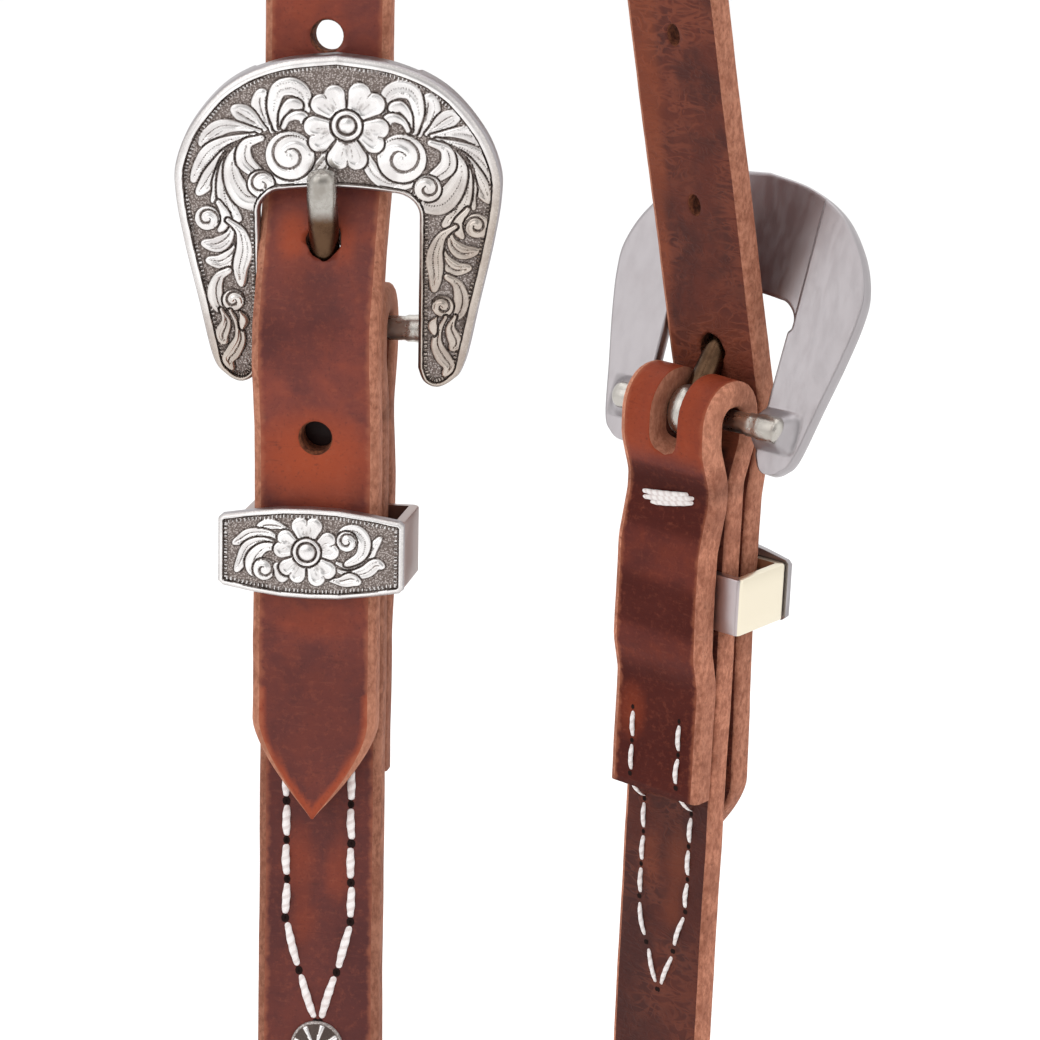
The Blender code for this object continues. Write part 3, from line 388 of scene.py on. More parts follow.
def crown_across(route):
    near_x = cheek_matrix(CHEEKS["near"]).col[0].to_3d()
    far_x = -cheek_matrix(CHEEKS["far"]).col[0].to_3d()
    hook_x = Vector((1, 0, 0))
    near_end = billet_length(CHEEKS["near"])
    far_end = route.length - billet_length(CHEEKS["far"])
    hook_mid = (near_end + far_end) / 2

    def across(distance):
        if distance < hook_mid:
            share = (distance - near_end) / TWIST_SPAN
            start, end = near_x, hook_x
        else:
            share = (far_end - distance) / (far_end - hook_mid - HOOK_BEND_RADIUS * math.pi / 2)
            start, end = far_x, hook_x
        share = min(1.0, max(0.0, share))
        smooth = share * share * (3 - 2 * share)
        return start.lerp(end, smooth)

    return across


def screw_heights():
    first = BIT_TAIL_TOP_Z - SCREW_FROM_TAIL_TOP
    return [first - SCREW_PITCH * k for k in range(SCREWS_PER_CHEEK)]


# Meshes
def mesh_object(name, verts, faces, materials=(), face_slots=None, uvs=None, matrix=None, smooth=True):
    """An object from arrays. uvs holds one pair per vertex."""
    mesh = bpy.data.meshes.new(name)
    mesh.from_pydata([tuple(v) for v in verts], [], [tuple(f) for f in faces])
    for material in materials:
        mesh.materials.append(material)
    if face_slots is not None:
        mesh.polygons.foreach_set("material_index", np.asarray(face_slots, np.int32))
    if uvs is not None:
        layer = mesh.uv_layers.new(name="UVMap")
        loops = np.zeros(len(mesh.loops), np.int32)
        mesh.loops.foreach_get("vertex_index", loops)
        layer.data.foreach_set("uv", np.asarray(uvs, np.float32)[loops].ravel())
    if smooth:
        mesh.polygons.foreach_set("use_smooth", np.ones(len(mesh.polygons), bool))
    mesh.update()
    obj = bpy.data.objects.new(name, mesh)
    bpy.context.scene.collection.objects.link(obj)
    if matrix is not None:
        obj.matrix_world = matrix
    return obj


def apply_modifiers(obj):
    graph = bpy.context.evaluated_depsgraph_get()
    shaped = obj.evaluated_get(graph)
    mesh = bpy.data.meshes.new_from_object(shaped, preserve_all_data_layers=True, depsgraph=graph)
    obj.modifiers.clear()
    obj.data = mesh
    return obj


def cut(obj, cutter):
    """Cut one object by another, whose material lines the cut."""
    modifier = obj.modifiers.new("Cut", "BOOLEAN")
    modifier.object = cutter
    modifier.operation = "DIFFERENCE"
    modifier.solver = "EXACT"
    modifier.material_mode = "TRANSFER"
    before = len(obj.data.polygons)
    apply_modifiers(obj)
    if len(obj.data.polygons) < before / 2:
        raise RuntimeError(f"{cutter.name} has emptied {obj.name}")
    bpy.data.objects.remove(cutter, do_unlink=True)
    return obj


def join_arrays(parts):
    verts, faces, total = [], [], 0
    for v, f in parts:
        verts += [tuple(p) for p in v]
        faces += [tuple(i + total for i in face) for face in f]
        total += len(v)
    return verts, faces

def circle(sides):
    """Cosine and sine of evenly spaced angles round a circle."""
    angles = [2 * math.pi * k / sides for k in range(sides)]
    return [(math.cos(a), math.sin(a)) for a in angles]


def tube_faces(rows, ring, ends="capped"):
    """Faces between rows of points that each go round. The ends are capped, open or joined."""
    faces = []
    for row in range(rows if ends == "joined" else rows - 1):
        here, there = row * ring, (row + 1) % rows * ring
        for k in range(ring):
            n = (k + 1) % ring
            faces.append((here + k, here + n, there + n, there + k))
    if ends == "capped":
        faces.append(tuple(range(ring))[::-1])
        faces.append(tuple((rows - 1) * ring + k for k in range(ring)))
    return faces


def fix_normals(obj, merge=None):
    """Join points that lie closer than merge, and turn every face outward."""
    bm = bmesh.new()
    bm.from_mesh(obj.data)
    if merge is not None:
        bmesh.ops.remove_doubles(bm, verts=bm.verts[:], dist=merge)
    bmesh.ops.recalc_face_normals(bm, faces=bm.faces[:])
    bm.to_mesh(obj.data)
    bm.free()
    return obj


def store_relief(obj, values):
    """Store per vertex how proud of the ground the silver stands; on the rims' outer slopes it also holds
    painted shade.
    """
    layer = obj.data.attributes.new("relief", "FLOAT", "POINT")
    layer.data.foreach_set("value", np.asarray(values, np.float32))


def smooth_noise(x, y, seed, octaves=3):
    """A soft, repeatable noise from sines, for arrays of places in millimetres."""
    rng = np.random.default_rng(seed)
    total = np.zeros_like(np.asarray(x, float))
    for k in range(octaves * 3):
        scale = 2.0 ** (k // 3)
        a, b, c = rng.uniform(-1, 1, 3)
        total = total + np.sin(scale * (a * x + b * y) + c * 9.0) / scale
    return total / (octaves * 1.6)


# Straps
def strap_section(half_width, half_thick, round_edge):
    """Points round a strap's section as (across, out), with the slot of each face that starts there.
    Slot 0 is the grain side, 1 the cut edge, 2 the flesh side."""
    inner, low = half_width - round_edge, round_edge * 0.7
    back = half_width - low
    shares = [-1 + 2 * k / (FACE_POINTS - 1) for k in range(FACE_POINTS)]

    def bend(degrees):
        return 1 - math.cos(degrees * DEGREE), math.sin(degrees * DEGREE)

    edge = [(inner + round_edge * s, half_thick - round_edge * c) for c, s in map(bend, (22, 45, 68))]
    edge += [(half_width, half_thick - round_edge), (half_width + EDGE_BULGE, 0.0),
             (half_width, -half_thick + low)]
    edge += [(half_width - low * c, -half_thick + low - low * s) for c, s in map(bend, (30, 62))]
    points = [(inner * s, half_thick - GRAIN_CROWN * s ** 4) for s in shares] + edge
    points += [(-back * s, -half_thick) for s in shares] + [(-x, y) for x, y in reversed(edge)]
    edge_slots = [1] * (len(edge) + 1)
    return points, [0] * (FACE_POINTS - 1) + edge_slots + [2] * (FACE_POINTS - 1) + edge_slots


def ring_places(length, zones, fine):
    """Distances of a strap's rings: close together in the zones and wide apart elsewhere."""
    places = [0.0]
    while places[-1] < length:
        in_zone = any(low <= places[-1] <= high for low, high in zones)
        places.append(places[-1] + (fine * 0.9 if in_zone else COARSE_STEP))
    places[-1] = length
    if len(places) > 2 and places[-1] - places[-2] < fine / 3:
        places.pop(-2)
    return places


def strap_frame(route, across_at, distance):
    """A place on a strap's middle line, and the directions along, across and out of it."""
    point, along = route.at(distance)
    across = across_at(distance)
    across = (across - along * along.dot(across)).normalized()
    return point, along, across, across.cross(along)


def noise_at(x, y, seed):
    return smooth_noise(np.array([x]), np.array([y]), seed)[0]


def dressed_strap(name, route, across_at, width_at, half_thick, materials, seed, fine, zones,
                  round_edge=1.0 * MM, waves=1.0):
    """A strap swept along its route with eased edges, small waves and uneven faces."""
    places = ring_places(route.length, zones, fine)
    base, slots = strap_section(STRAP_HALF, half_thick, round_edge)
    verts, uvs = [], []
    for distance in places:
        point, _, across, out = strap_frame(route, across_at, distance)
        half = width_at(distance)
        s_mm = distance / MM
        side_wave = noise_at(s_mm * 0.22, 3.0, seed)
        for w, n in base:
            share = w / STRAP_HALF
            wide = share * half
            if abs(share) > 0.8:
                wave = noise_at(s_mm * 0.35, 17.0 if share > 0 else -23.0, seed + 1)
                wide += math.copysign(1, share) * wave * 0.10 * MM * waves
            lift = noise_at(s_mm * 0.45, w / MM * 0.5 + 40, seed + 2)
            rise = n * (1 + 0.012 * lift * waves) + side_wave * 0.05 * MM * waves
            verts.append(point + across * wide + out * rise)
            uvs.append((distance, w + (0.1 if n < 0 else 0.0)))
    faces = tube_faces(len(places), len(base))
    face_slots = slots * (len(places) - 1) + [1, 1]
    return fix_normals(mesh_object(name, verts, faces, materials, face_slots, uvs))


def punch(name, route, across_at, places, radius, flare, half_thick, squeeze):
    """One cutter for round holes through a strap, with worn rims."""
    sides = 28
    levels = ((-half_thick - 1.2 * MM, radius + flare), (-half_thick + 0.02 * MM, radius + flare * 0.5),
              (-half_thick + 0.6 * MM, radius), (half_thick - 0.7 * MM, radius),
              (half_thick - 0.1 * MM, radius + flare * 0.7), (half_thick + 1.2 * MM, radius + flare * 1.6))
    parts = []
    for distance in places:
        centre, along, across, out = strap_frame(route, across_at, distance)
        wide, tall = squeeze(distance)
        verts = [centre + out * level + along * (tall * r * c) + across * (wide * r * s)
                 for level, r in levels for c, s in circle(sides)]
        parts.append((verts, tube_faces(len(levels), sides)))
    return fix_normals(mesh_object(name, *join_arrays(parts), (LINING,), smooth=False))


def prism(name, outline, low, high, material, matrix):
    """An outline in a plane, (x, z), run from low to high along y."""
    count = len(outline)
    verts = [(x, low, z) for x, z in outline] + [(x, high, z) for x, z in outline]
    faces = [tuple(range(count)), tuple(range(2 * count - 1, count - 1, -1))]
    faces += [(k, (k + 1) % count, (k + 1) % count + count, k + count) for k in range(count)]
    return fix_normals(mesh_object(name, verts, faces, (material,), matrix=matrix, smooth=False))


# Materials
class Graph:
    """A small helper for node materials."""

    def __init__(self, name):
        self.material = bpy.data.materials.new(name)
        self.material.use_nodes = True
        self.tree = self.material.node_tree
        self.shader = self.tree.nodes["Principled BSDF"]

    def node(self, kind, settings=None, **inputs):
        made = self.tree.nodes.new(kind)
        for key, value in (settings or {}).items():
            setattr(made, key, value)
        for key, value in inputs.items():
            self.feed(made, key.replace("_", " "), value)
        return made

    def feed(self, node, socket, value):
        target = node.inputs[int(socket)] if socket.isdigit() else node.inputs[socket]
        if isinstance(value, bpy.types.NodeSocket):
            self.tree.links.new(value, target)
        elif isinstance(value, bpy.types.Node):
            self.tree.links.new(value.outputs[0], target)
        else:
            target.default_value = value

    def look(self, **inputs):
        """Feed the shader. A constant goes onto its own socket."""
        for key, value in inputs.items():
            self.feed(self.shader, key.replace("_", " "), value)
        return self.material

    def solid(self):
        return self.node("ShaderNodeTexCoord").outputs["Object"]

    def attribute(self, name):
        return self.node("ShaderNodeAttribute", {"attribute_name": name, "attribute_type": "GEOMETRY"})

    def split(self, vector):
        return self.node("ShaderNodeSeparateXYZ", Vector=vector).outputs

    def uv(self):
        return self.node("ShaderNodeUVMap", {"uv_map": "UVMap"}).outputs[0]

    def math(self, operation, first, second=0.0):
        made = self.node("ShaderNodeMath", {"operation": operation})
        self.feed(made, "0", first)
        if operation not in ("ABSOLUTE", "SINE"):
            self.feed(made, "1", second)
        return made.outputs[0]

    def about_half(self, value, gain):
        """The value's distance from a half, with its sign, times gain."""
        return self.math("MULTIPLY", self.math("SUBTRACT", value, 0.5), gain)

    def step(self, value, low, high, to_low=0.0, to_high=1.0):
        made = self.node("ShaderNodeMapRange", {"interpolation_type": "SMOOTHSTEP"}, Value=value)
        for socket, limit in zip(("From Min", "From Max", "To Min", "To Max"), (low, high, to_low, to_high)):
            self.feed(made, socket, limit)
        return made.outputs[0]

    def mix(self, share, first, second):
        made = self.node("ShaderNodeMix", {"data_type": "RGBA"})
        self.feed(made, "0", share)
        for socket, value in (("6", first), ("7", second)):
            self.feed(made, socket, (*value, 1.0) if isinstance(value, tuple) else value)
        return made.outputs[2]

    def tint(self, base, value, low, high, amount, colour):
        """Lay a colour over the base where the value runs from low to high."""
        return self.mix(self.math("MULTIPLY", self.step(value, low, high), amount), base, colour)

    def stretched(self, vector, scale):
        """A scale of three numbers stretches the places first."""
        if not isinstance(scale, tuple):
            return vector, scale
        made = self.node("ShaderNodeMapping", Vector=vector)
        made.inputs["Scale"].default_value = scale
        return made.outputs[0], 1.0

    def noise(self, vector, scale, detail=3.0, rough=0.5, distortion=0.0):
        vector, scale = self.stretched(vector, scale)
        return self.node("ShaderNodeTexNoise", Vector=vector, Scale=scale, Detail=detail, Roughness=rough,
                         Distortion=distortion).outputs[0]

    def voronoi(self, vector, scale):
        vector, scale = self.stretched(vector, scale)
        return self.node("ShaderNodeTexVoronoi", Scale=scale, Vector=vector).outputs["Distance"]

    def bump(self, height, strength, distance, normal=None):
        made = self.node("ShaderNodeBump", Strength=strength, Distance=distance, Height=height)
        if normal is not None:
            self.feed(made, "Normal", normal)
        return made.outputs[0]


def strap_inputs(g):
    """The strap's coordinates in metres, the place across it, and its painted tones."""
    uv = g.uv()
    tones = g.node("ShaderNodeSeparateColor", Color=g.attribute("tone").outputs["Color"]).outputs
    return uv, g.split(uv)[1], tones[0], tones[1], tones[2]


def leather_grain(name="harness_leather_grain", shine=0.15, oil_and_shade=(0.062, 0.0165, 0.0160)):
    """Oiled harness leather, grain side: mottled red-brown, pores, fine creases and light edges."""
    g = Graph(name)
    uv, across, dark, orange, shade = strap_inputs(g)
    solid = g.solid()
    patches = g.noise(uv, (70.0, 110.0, 1.0), 5.0, 0.60, 0.6)
    mottle = g.noise(uv, (300.0, 240.0, 1.0), 5.0, 0.62, 0.4)
    fibre = g.noise(uv, (1500.0, 330.0, 1.0), 4.0, 0.62)
    pores = g.voronoi(uv, (2100.0, 2300.0, 1.0))
    crease = g.noise(uv, (900.0, 120.0, 1.0), 4.0, 0.60, 0.5)
    speck = g.noise(solid, 2600.0, 3.0, 0.6)
    grain = g.noise(solid, 1100.0, 4.0, 0.7)
    base = g.mix(g.step(patches, 0.34, 0.66), (0.190, 0.043, 0.029), (0.126, 0.032, 0.026))
    base = g.tint(base, mottle, 0.46, 0.66, 0.42, (0.240, 0.052, 0.028))
    base = g.tint(base, mottle, 0.47, 0.32, 0.55, (0.092, 0.025, 0.022))
    # The dark tone's colour: oil, and in the far cheek's copy painted shade as well.
    base = g.mix(dark, base, oil_and_shade)
    base = g.mix(orange, base, (0.300, 0.052, 0.018))
    base = g.tint(base, fibre, 0.56, 0.74, 0.14, (0.300, 0.090, 0.052))
    base = g.tint(base, grain, 0.50, 0.70, 0.17, (0.310, 0.080, 0.042))
    base = g.tint(base, crease, 0.62, 0.74, 0.30, (0.060, 0.017, 0.014))
    base = g.tint(base, speck, 0.57, 0.72, 0.40, (0.060, 0.019, 0.016))
    ragged = g.noise(uv, (600.0, 420.0, 1.0), 5.0, 0.62)
    reach = g.math("ADD", g.math("ABSOLUTE", across), g.about_half(ragged, 0.0018))
    base = g.tint(base, reach, 0.0062, 0.0071, 0.60, (0.330, 0.105, 0.056))
    base = g.mix(shade, base, (0.025, 0.009, 0.008))
    low = g.bump(crease, 0.30, 0.0002)
    mid = g.bump(pores, 0.16, 0.00008, low)
    fine = g.bump(g.noise(solid, 900.0, 4.0, 0.6), 0.28, 0.00014, mid)
    return g.look(Base_Color=base, Roughness=g.step(mottle, 0.3, 0.75, 0.36, 0.50),
                  Specular_IOR_Level=shine, Normal=fine)


def leather_edge(name="harness_leather_edge", gain=1.0):
    """Cut edge: layered fibres, tan where worn and dark where oil sits."""
    g = Graph(name)
    _, _, dark, orange, shade = strap_inputs(g)
    solid = g.solid()
    fibre = g.noise(solid, (1700.0, 1700.0, 900.0), 5.0, 0.68)
    blotch = g.noise(solid, 210.0, 5.0, 0.62)
    pits = g.noise(solid, 1500.0, 4.0, 0.6)
    # gain scales the colours for lit and shaded copies of the edge: painted light and painted shade.
    brown = tuple(gain * c for c in (0.250, 0.092, 0.054))
    tan = tuple(gain * c for c in (0.450, 0.190, 0.118))
    base = g.mix(g.step(fibre, 0.34, 0.66), brown, tan)
    base = g.tint(base, blotch, 0.46, 0.66, 0.55, (0.225, 0.074, 0.042))
    base = g.tint(base, blotch, 0.44, 0.32, 0.45, (0.460, 0.205, 0.130))
    base = g.tint(base, pits, 0.58, 0.72, 0.45, (0.085, 0.028, 0.018))
    base = g.mix(g.math("MULTIPLY", orange, 0.35), base, (0.500, 0.225, 0.140))
    base = g.mix(g.math("MULTIPLY", dark, 0.30), base, (0.120, 0.040, 0.026))
    base = g.mix(shade, base, (0.040, 0.015, 0.011))
    normal = g.bump(pits, 0.45, 0.00022, g.bump(fibre, 0.55, 0.00024))
    return g.look(Base_Color=base, Roughness=0.74, Specular_IOR_Level=0.15, Normal=normal)


def leather_flesh():
    """Flesh side: dark mahogany, with a crackle of lighter ridges, mostly across the strap."""
    g = Graph("harness_leather_flesh")
    uv, _, dark, orange, shade = strap_inputs(g)
    solid = g.solid()
    patches = g.noise(solid, 110.0, 4.0, 0.60, 0.5)
    warp = g.noise(solid, 330.0, 5.0, 0.65)

    def ridge(scale, thin):
        field = g.noise(uv, scale, 2.5, 0.55, 0.8)
        return g.step(g.math("ABSOLUTE", g.math("SUBTRACT", field, 0.5)), thin, 0.0)

    veins = g.math("MAXIMUM", ridge((520.0, 150.0, 1.0), 0.085), ridge((330.0, 260.0, 1.7), 0.060))
    fuzz = g.noise(solid, 1500.0, 5.0, 0.68)
    kept = g.step(g.noise(solid, 95.0, 3.0, 0.5), 0.40, 0.58)
    base = g.mix(g.step(patches, 0.38, 0.62), (0.064, 0.018, 0.014), (0.108, 0.027, 0.018))
    base = g.tint(base, warp, 0.48, 0.66, 0.50, (0.150, 0.038, 0.022))
    base = g.mix(g.math("MULTIPLY", g.math("MULTIPLY", veins, kept), 0.58), base, (0.225, 0.062, 0.034))
    base = g.tint(base, fuzz, 0.54, 0.72, 0.22, (0.200, 0.064, 0.040))
    base = g.mix(g.math("MULTIPLY", dark, 0.8), base, (0.046, 0.014, 0.012))
    base = g.mix(orange, base, (0.230, 0.056, 0.024))
    base = g.mix(shade, base, (0.025, 0.009, 0.008))
    mid = g.bump(patches, 0.4, 0.0004, g.bump(veins, 0.35, 0.00022))
    return g.look(Base_Color=base, Roughness=g.step(patches, 0.3, 0.7, 0.50, 0.66), Specular_IOR_Level=0.12,
                  Normal=g.bump(fuzz, 0.35, 0.0002, mid))


def hole_lining():
    g = Graph("punched_leather")
    fibre = g.noise(g.solid(), 1300.0, 5.0, 0.65)
    base = g.mix(g.step(fibre, 0.35, 0.7), (0.075, 0.024, 0.014), (0.270, 0.092, 0.044))
    return g.look(Base_Color=base, Roughness=0.8, Specular_IOR_Level=0.15, Normal=g.bump(fibre, 0.6, 0.0003))


def awl_hole_shade():
    # Painted shade: a near-black disc stands for the dark inside of an awl hole.
    g = Graph("awl_hole_shade")
    return g.look(Base_Color=(0.013, 0.006, 0.005, 1.0), Roughness=0.85, Specular_IOR_Level=0.10)


def antique_silver(name="antique_silver", shaded_legs=False):
    """Engraved silver: bright where it stands proud, brown-grey oxide where it lies low."""
    g = Graph(name)
    low = g.attribute("relief").outputs["Fac"]
    solid = g.solid()
    stain = g.noise(solid, 300.0, 4.0, 0.6)
    grit = g.voronoi(solid, 4600.0)
    level = g.math("ADD", low, g.about_half(stain, 0.16))
    oxide = g.mix(g.step(grit, 0.15, 0.6), (0.50, 0.445, 0.42), (0.165, 0.132, 0.118))
    oxide = g.mix(g.step(low, 0.12, 0.03), oxide, (0.075, 0.055, 0.047))
    silver = g.mix(g.step(stain, 0.40, 0.70), (0.82, 0.80, 0.79), (0.66, 0.63, 0.62))
    # Painted shade: the lower legs, more so towards the right, darken to a dull grey-brown.
    if shaded_legs:
        split = g.split(solid)
        height = g.math("SUBTRACT", split[2], g.math("MULTIPLY", split[0], 0.55))
        leg_shade = g.mix(g.step(stain, 0.40, 0.70), (0.52, 0.455, 0.400), (0.39, 0.325, 0.280))
        silver = g.mix(g.step(height, 0.003, 0.020), leg_shade, silver)
    dots = g.bump(g.math("MULTIPLY", grit, g.step(level, 0.45, 0.1)), 0.35, 0.00007)
    return g.look(Base_Color=g.mix(g.step(level, 0.20, 0.78), oxide, silver),
                  Metallic=g.step(level, 0.0, 0.35, 0.85, 1.0),
                  Roughness=g.step(level, 0.15, 0.80, 0.50, 0.27),
                  Normal=g.bump(g.noise(solid, 1500.0, 3.0, 0.55), 0.08, 0.00006, dots))


def smooth_metal(name, colour, rough, stain_colour, wear=0.3, rubbed=True, hammered=0.0):
    """Plated metal with faint stains and, where rubbed, fine marks."""
    g = Graph(name)
    solid = g.solid()
    base = g.tint(colour, g.noise(solid, 160.0, 4.0, 0.6), 0.45, 0.75, wear, stain_colour)
    if not rubbed:
        return g.look(Base_Color=base, Metallic=1.0, Roughness=rough)
    rub = g.noise(solid, (900.0, 900.0, 300.0), 3.0, 0.6)
    return g.look(Base_Color=base, Metallic=1.0, Roughness=g.step(rub, 0.35, 0.7, rough, rough + 0.08),
                  Normal=g.bump(g.noise(solid, 1000.0, 3.0, 0.6), hammered, 0.00016))


def tongue_metal():
    """The tongue's plating, brown with painted shade and a painted reflection of the leather where it enters
    the strap.
    """
    g = Graph("tongue_metal")
    solid = g.solid()
    stain = g.noise(solid, 420.0, 4.0, 0.6)
    level = g.math("ADD", g.split(solid)[2], g.about_half(stain, 0.002))
    worn = g.mix(g.step(stain, 0.4, 0.7), (0.42, 0.400, 0.370), (0.31, 0.285, 0.255))
    shaded_brown = g.mix(g.step(stain, 0.4, 0.7), (0.108, 0.060, 0.034), (0.066, 0.035, 0.020))
    # Painted shade and painted leather reflection: dark brown below the line where the tongue enters the
    # strap.
    return g.look(Base_Color=g.mix(g.step(level, 0.0152, 0.0174), shaded_brown, worn), Metallic=1.0,
                  Roughness=g.step(stain, 0.35, 0.7, 0.22, 0.34), Normal=g.bump(stain, 0.10, 0.0001))


def waxed_thread():
    """White waxed thread: two plies, pinkish grey in the twist between them as painted shade."""
    g = Graph("waxed_thread")
    split = g.split(g.uv())
    twist = g.math("SINE", g.math("ADD", g.math("MULTIPLY", split[0], 5200.0), split[1]))
    solid = g.solid()
    # Painted shade: the twist between the plies is pinkish grey.
    base = g.mix(g.step(twist, -0.9, 0.1), (0.66, 0.59, 0.57), (0.80, 0.755, 0.74))
    base = g.tint(base, g.noise(solid, 420.0, 4.0, 0.6), 0.48, 0.72, 0.45, (0.58, 0.48, 0.45))
    low = g.bump(twist, 0.25, 0.00010)
    return g.look(Base_Color=base, Roughness=0.55, Sheen_Weight=0.25,
                  Normal=g.bump(g.noise(solid, 4200.0, 3.0, 0.6), 0.3, 0.00005, low))


def floor_material():
    g = Graph("pale_floor")
    tint = g.noise(g.solid(), 1.5, 2.0, 0.5)
    return g.look(Base_Color=g.mix(tint, (0.94, 0.94, 0.94), (0.96, 0.96, 0.96)), Roughness=0.9)


GRAIN = leather_grain()
# A darker, less glossy copy of the grain for the far cheek: painted shade.
SHADED_GRAIN = leather_grain("shaded_grain", 0.05, (0.060, 0.0110, 0.0080))
EDGE = leather_edge()
FLESH = leather_flesh()
LEATHERS = (GRAIN, EDGE, FLESH)
# The near cheek's cut edge is a darker copy (painted shade), the far cheek's a lighter copy (painted light).
CHEEK_LEATHERS = {
    "near": (GRAIN, leather_edge("near_shaded_cut_edge", 0.78), FLESH),
    "far": (SHADED_GRAIN, leather_edge("far_lit_cut_edge", 1.35), FLESH),
}
LINING = hole_lining()
AWL_HOLE_SHADE = awl_hole_shade()
SILVER = antique_silver()
# The frame's copy paints shade on its lower legs.
FRAME_SILVER = antique_silver("antique_silver_frame", True)
PLAIN_SILVER = smooth_metal("cast_back", (0.37, 0.345, 0.355), 0.34, (0.31, 0.28, 0.285))
NICKEL = smooth_metal("polished_nickel", (0.76, 0.69, 0.55), 0.30, (0.72, 0.65, 0.52), 0.2, False)
# A darker copy of the nickel for the far band's rear faces: painted shade.
SHADED_BACK_NICKEL = smooth_metal("shaded_nickel", (0.47, 0.41, 0.415), 0.32, (0.44, 0.38, 0.385), 0.2, False)
# A darker, warmer copy of the band's nickel for the near keeper: painted shade.
SHADED_WARM_NICKEL = smooth_metal("shaded_warm_nickel", (0.31, 0.225, 0.205), 0.30, (0.28, 0.20, 0.18), 0.3, False)
STEEL = smooth_metal("plated_steel", (0.46, 0.435, 0.40), 0.26, (0.30, 0.26, 0.22), 0.5, True, 0.45)
TONGUE = tongue_metal()
THREAD = waxed_thread()


def paint(obj, tones):
    """Store tones per vertex: red is dark oil, green is orange wear with a painted highlight, blue is painted
    shade in creases and under the billet.
    """
    layer = obj.data.color_attributes.new("tone", "FLOAT_COLOR", "POINT")
    values = np.ones((len(obj.data.vertices), 4), np.float32)
    values[:, :3] = np.clip(tones, 0, 1)
    layer.data.foreach_set("color", values.ravel())


def vertex_array(obj):
    co = np.zeros(len(obj.data.vertices) * 3, np.float32)
    obj.data.vertices.foreach_get("co", co)
    return co.reshape(-1, 3).astype(float)


def soft_step(value, low, high):
    t = np.clip((value - low) / (high - low), 0, 1)
    return t * t * (3 - 2 * t)


def spot_at(x, z, cx, cz, rx, rz):
    """A soft patch centred on a place, 1 in the middle and 0 at its edge."""
    d = ((x - cx) / rx) ** 2 + ((z - cz) / rz) ** 2
    return np.clip(1 - d, 0, 1) ** 0.8


def patches(x, z, *rows):
    """The sum of soft patches, each given by its strength, its middle and its half size."""
    return sum(strength * spot_at(x, z, *place) for strength, *place in rows)


# The crown strap and the cheeks
CROWN = crown_route()
CROWN_ACROSS = crown_across(CROWN)
CHEEK = cheek_route()


def to_local(co, matrix):
    inverse = np.array(matrix.inverted())
    return co @ inverse[:3, :3].T + inverse[:3, 3]


def crown_width(distance):
    reach = min(distance, CROWN.length - distance)
    if reach >= POINT_LENGTH:
        return STRAP_HALF
    share = max(0.0, reach) / POINT_LENGTH
    return max(0.15 * MM, STRAP_HALF * (1 - (1 - share) ** POINT_POWER))


def crown_tones(obj):
    """Where the oil has darkened the billets, and where rubbing has left them orange."""
    co = vertex_array(obj)
    tones = np.zeros((len(co), 3))
    near = to_local(co, cheek_matrix(CHEEKS["near"])) / MM
    low = co[:, 2] < -0.2
    on_near = low & (np.abs(near[:, 1]) < 15) & (np.abs(near[:, 0]) < 14)
    x, z = near[:, 0], near[:, 2]
    dark = patches(x, z, (0.55, -3.0, 2.5, 7.5, 8.5), (0.30, 3.0, 5.5, 6.0, 6.5), (0.35, -6.2, 0.5, 3.0, 4.0),
                   (0.7, 5.3, -18.8, 1.3, 4.0), (0.6, -5.8, -20.5, 1.6, 3.5), (0.3, 4, 30, 9, 7),
                   (0.3, 4.5, 17.5, 4, 4)) + 0.55 * soft_step(-z, 36, 44)
    orange = patches(x, z, (0.20, -1.0, 12.5, 9.0, 5.0), (0.7, -3.4, 12.5, 2.2, 3.5),
                     (0.5, 3.0, 11.5, 1.6, 3.0), (0.95, 0.0, -15.5, 9.0, 7.0),
                     (0.4, 0, -36.5, 6, 2.4), (0.3, -3, 38, 7, 7))
    share = np.clip((z - z[on_near].min()) * MM / POINT_LENGTH, 0, 1)
    half = STRAP_HALF / MM * (1 - (1 - share) ** POINT_POWER)
    rim = np.where(z < -45, soft_step(np.abs(x), half - 1.9, half - 1.2), 0)
    tones[:, 0] = np.where(on_near, dark * (1 - 0.9 * rim), 0)
    tones[:, 1] = np.where(on_near, orange + 0.80 * rim, 0)
    on_far = low & ~on_near
    x, _, z = to_local(co, cheek_matrix(CHEEKS["far"])).T / MM
    tones[:, 0] += np.where(on_far, patches(x, z, (0.25, 0, 30, 16, 24)), 0)
    tones[:, 1] += np.where(on_far, patches(x, z, (0.35, 0, 6, 9, 9)), 0)
    tones[:, 1] += np.where(on_far & (z > -12), 0.50 * soft_step(np.abs(x), 7.0, 7.8), 0)
    tones += 0.12 * smooth_noise(co[:, 0] / MM * 0.4, co[:, 2] / MM * 0.4, 31)[:, None] * [1, 0.6, 0]
    paint(obj, tones)


def used_hole_cutter(side_name, cheek):
    """The hole that the tongue has pulled to a ragged drop shape."""
    sides = 30
    outline = []
    for k in range(sides):
        a = 2 * math.pi * k / sides
        r = 2.22 + 0.08 * math.sin(3 * a + 1) + 0.07 * math.sin(7 * a)
        x, z = r * math.sin(a), r * math.cos(a)
        if z < 0:
            z *= 1.25 - 0.35 * abs(x) / 2.4
        outline.append((x * MM, z * MM))
    low, high = tongue_line()[:2]
    middle = low.lerp(high, 0.62)
    along = (high - low).normalized()
    lift = math.atan2(along.z, -along.y)
    place = tongue_matrix(cheek) @ Matrix.Translation(middle) @ Matrix.Rotation(-lift * 0.72, 4, "X")
    return prism(f"{side_name}_used_hole", outline, -6.0 * MM, 6.0 * MM, LINING, place)


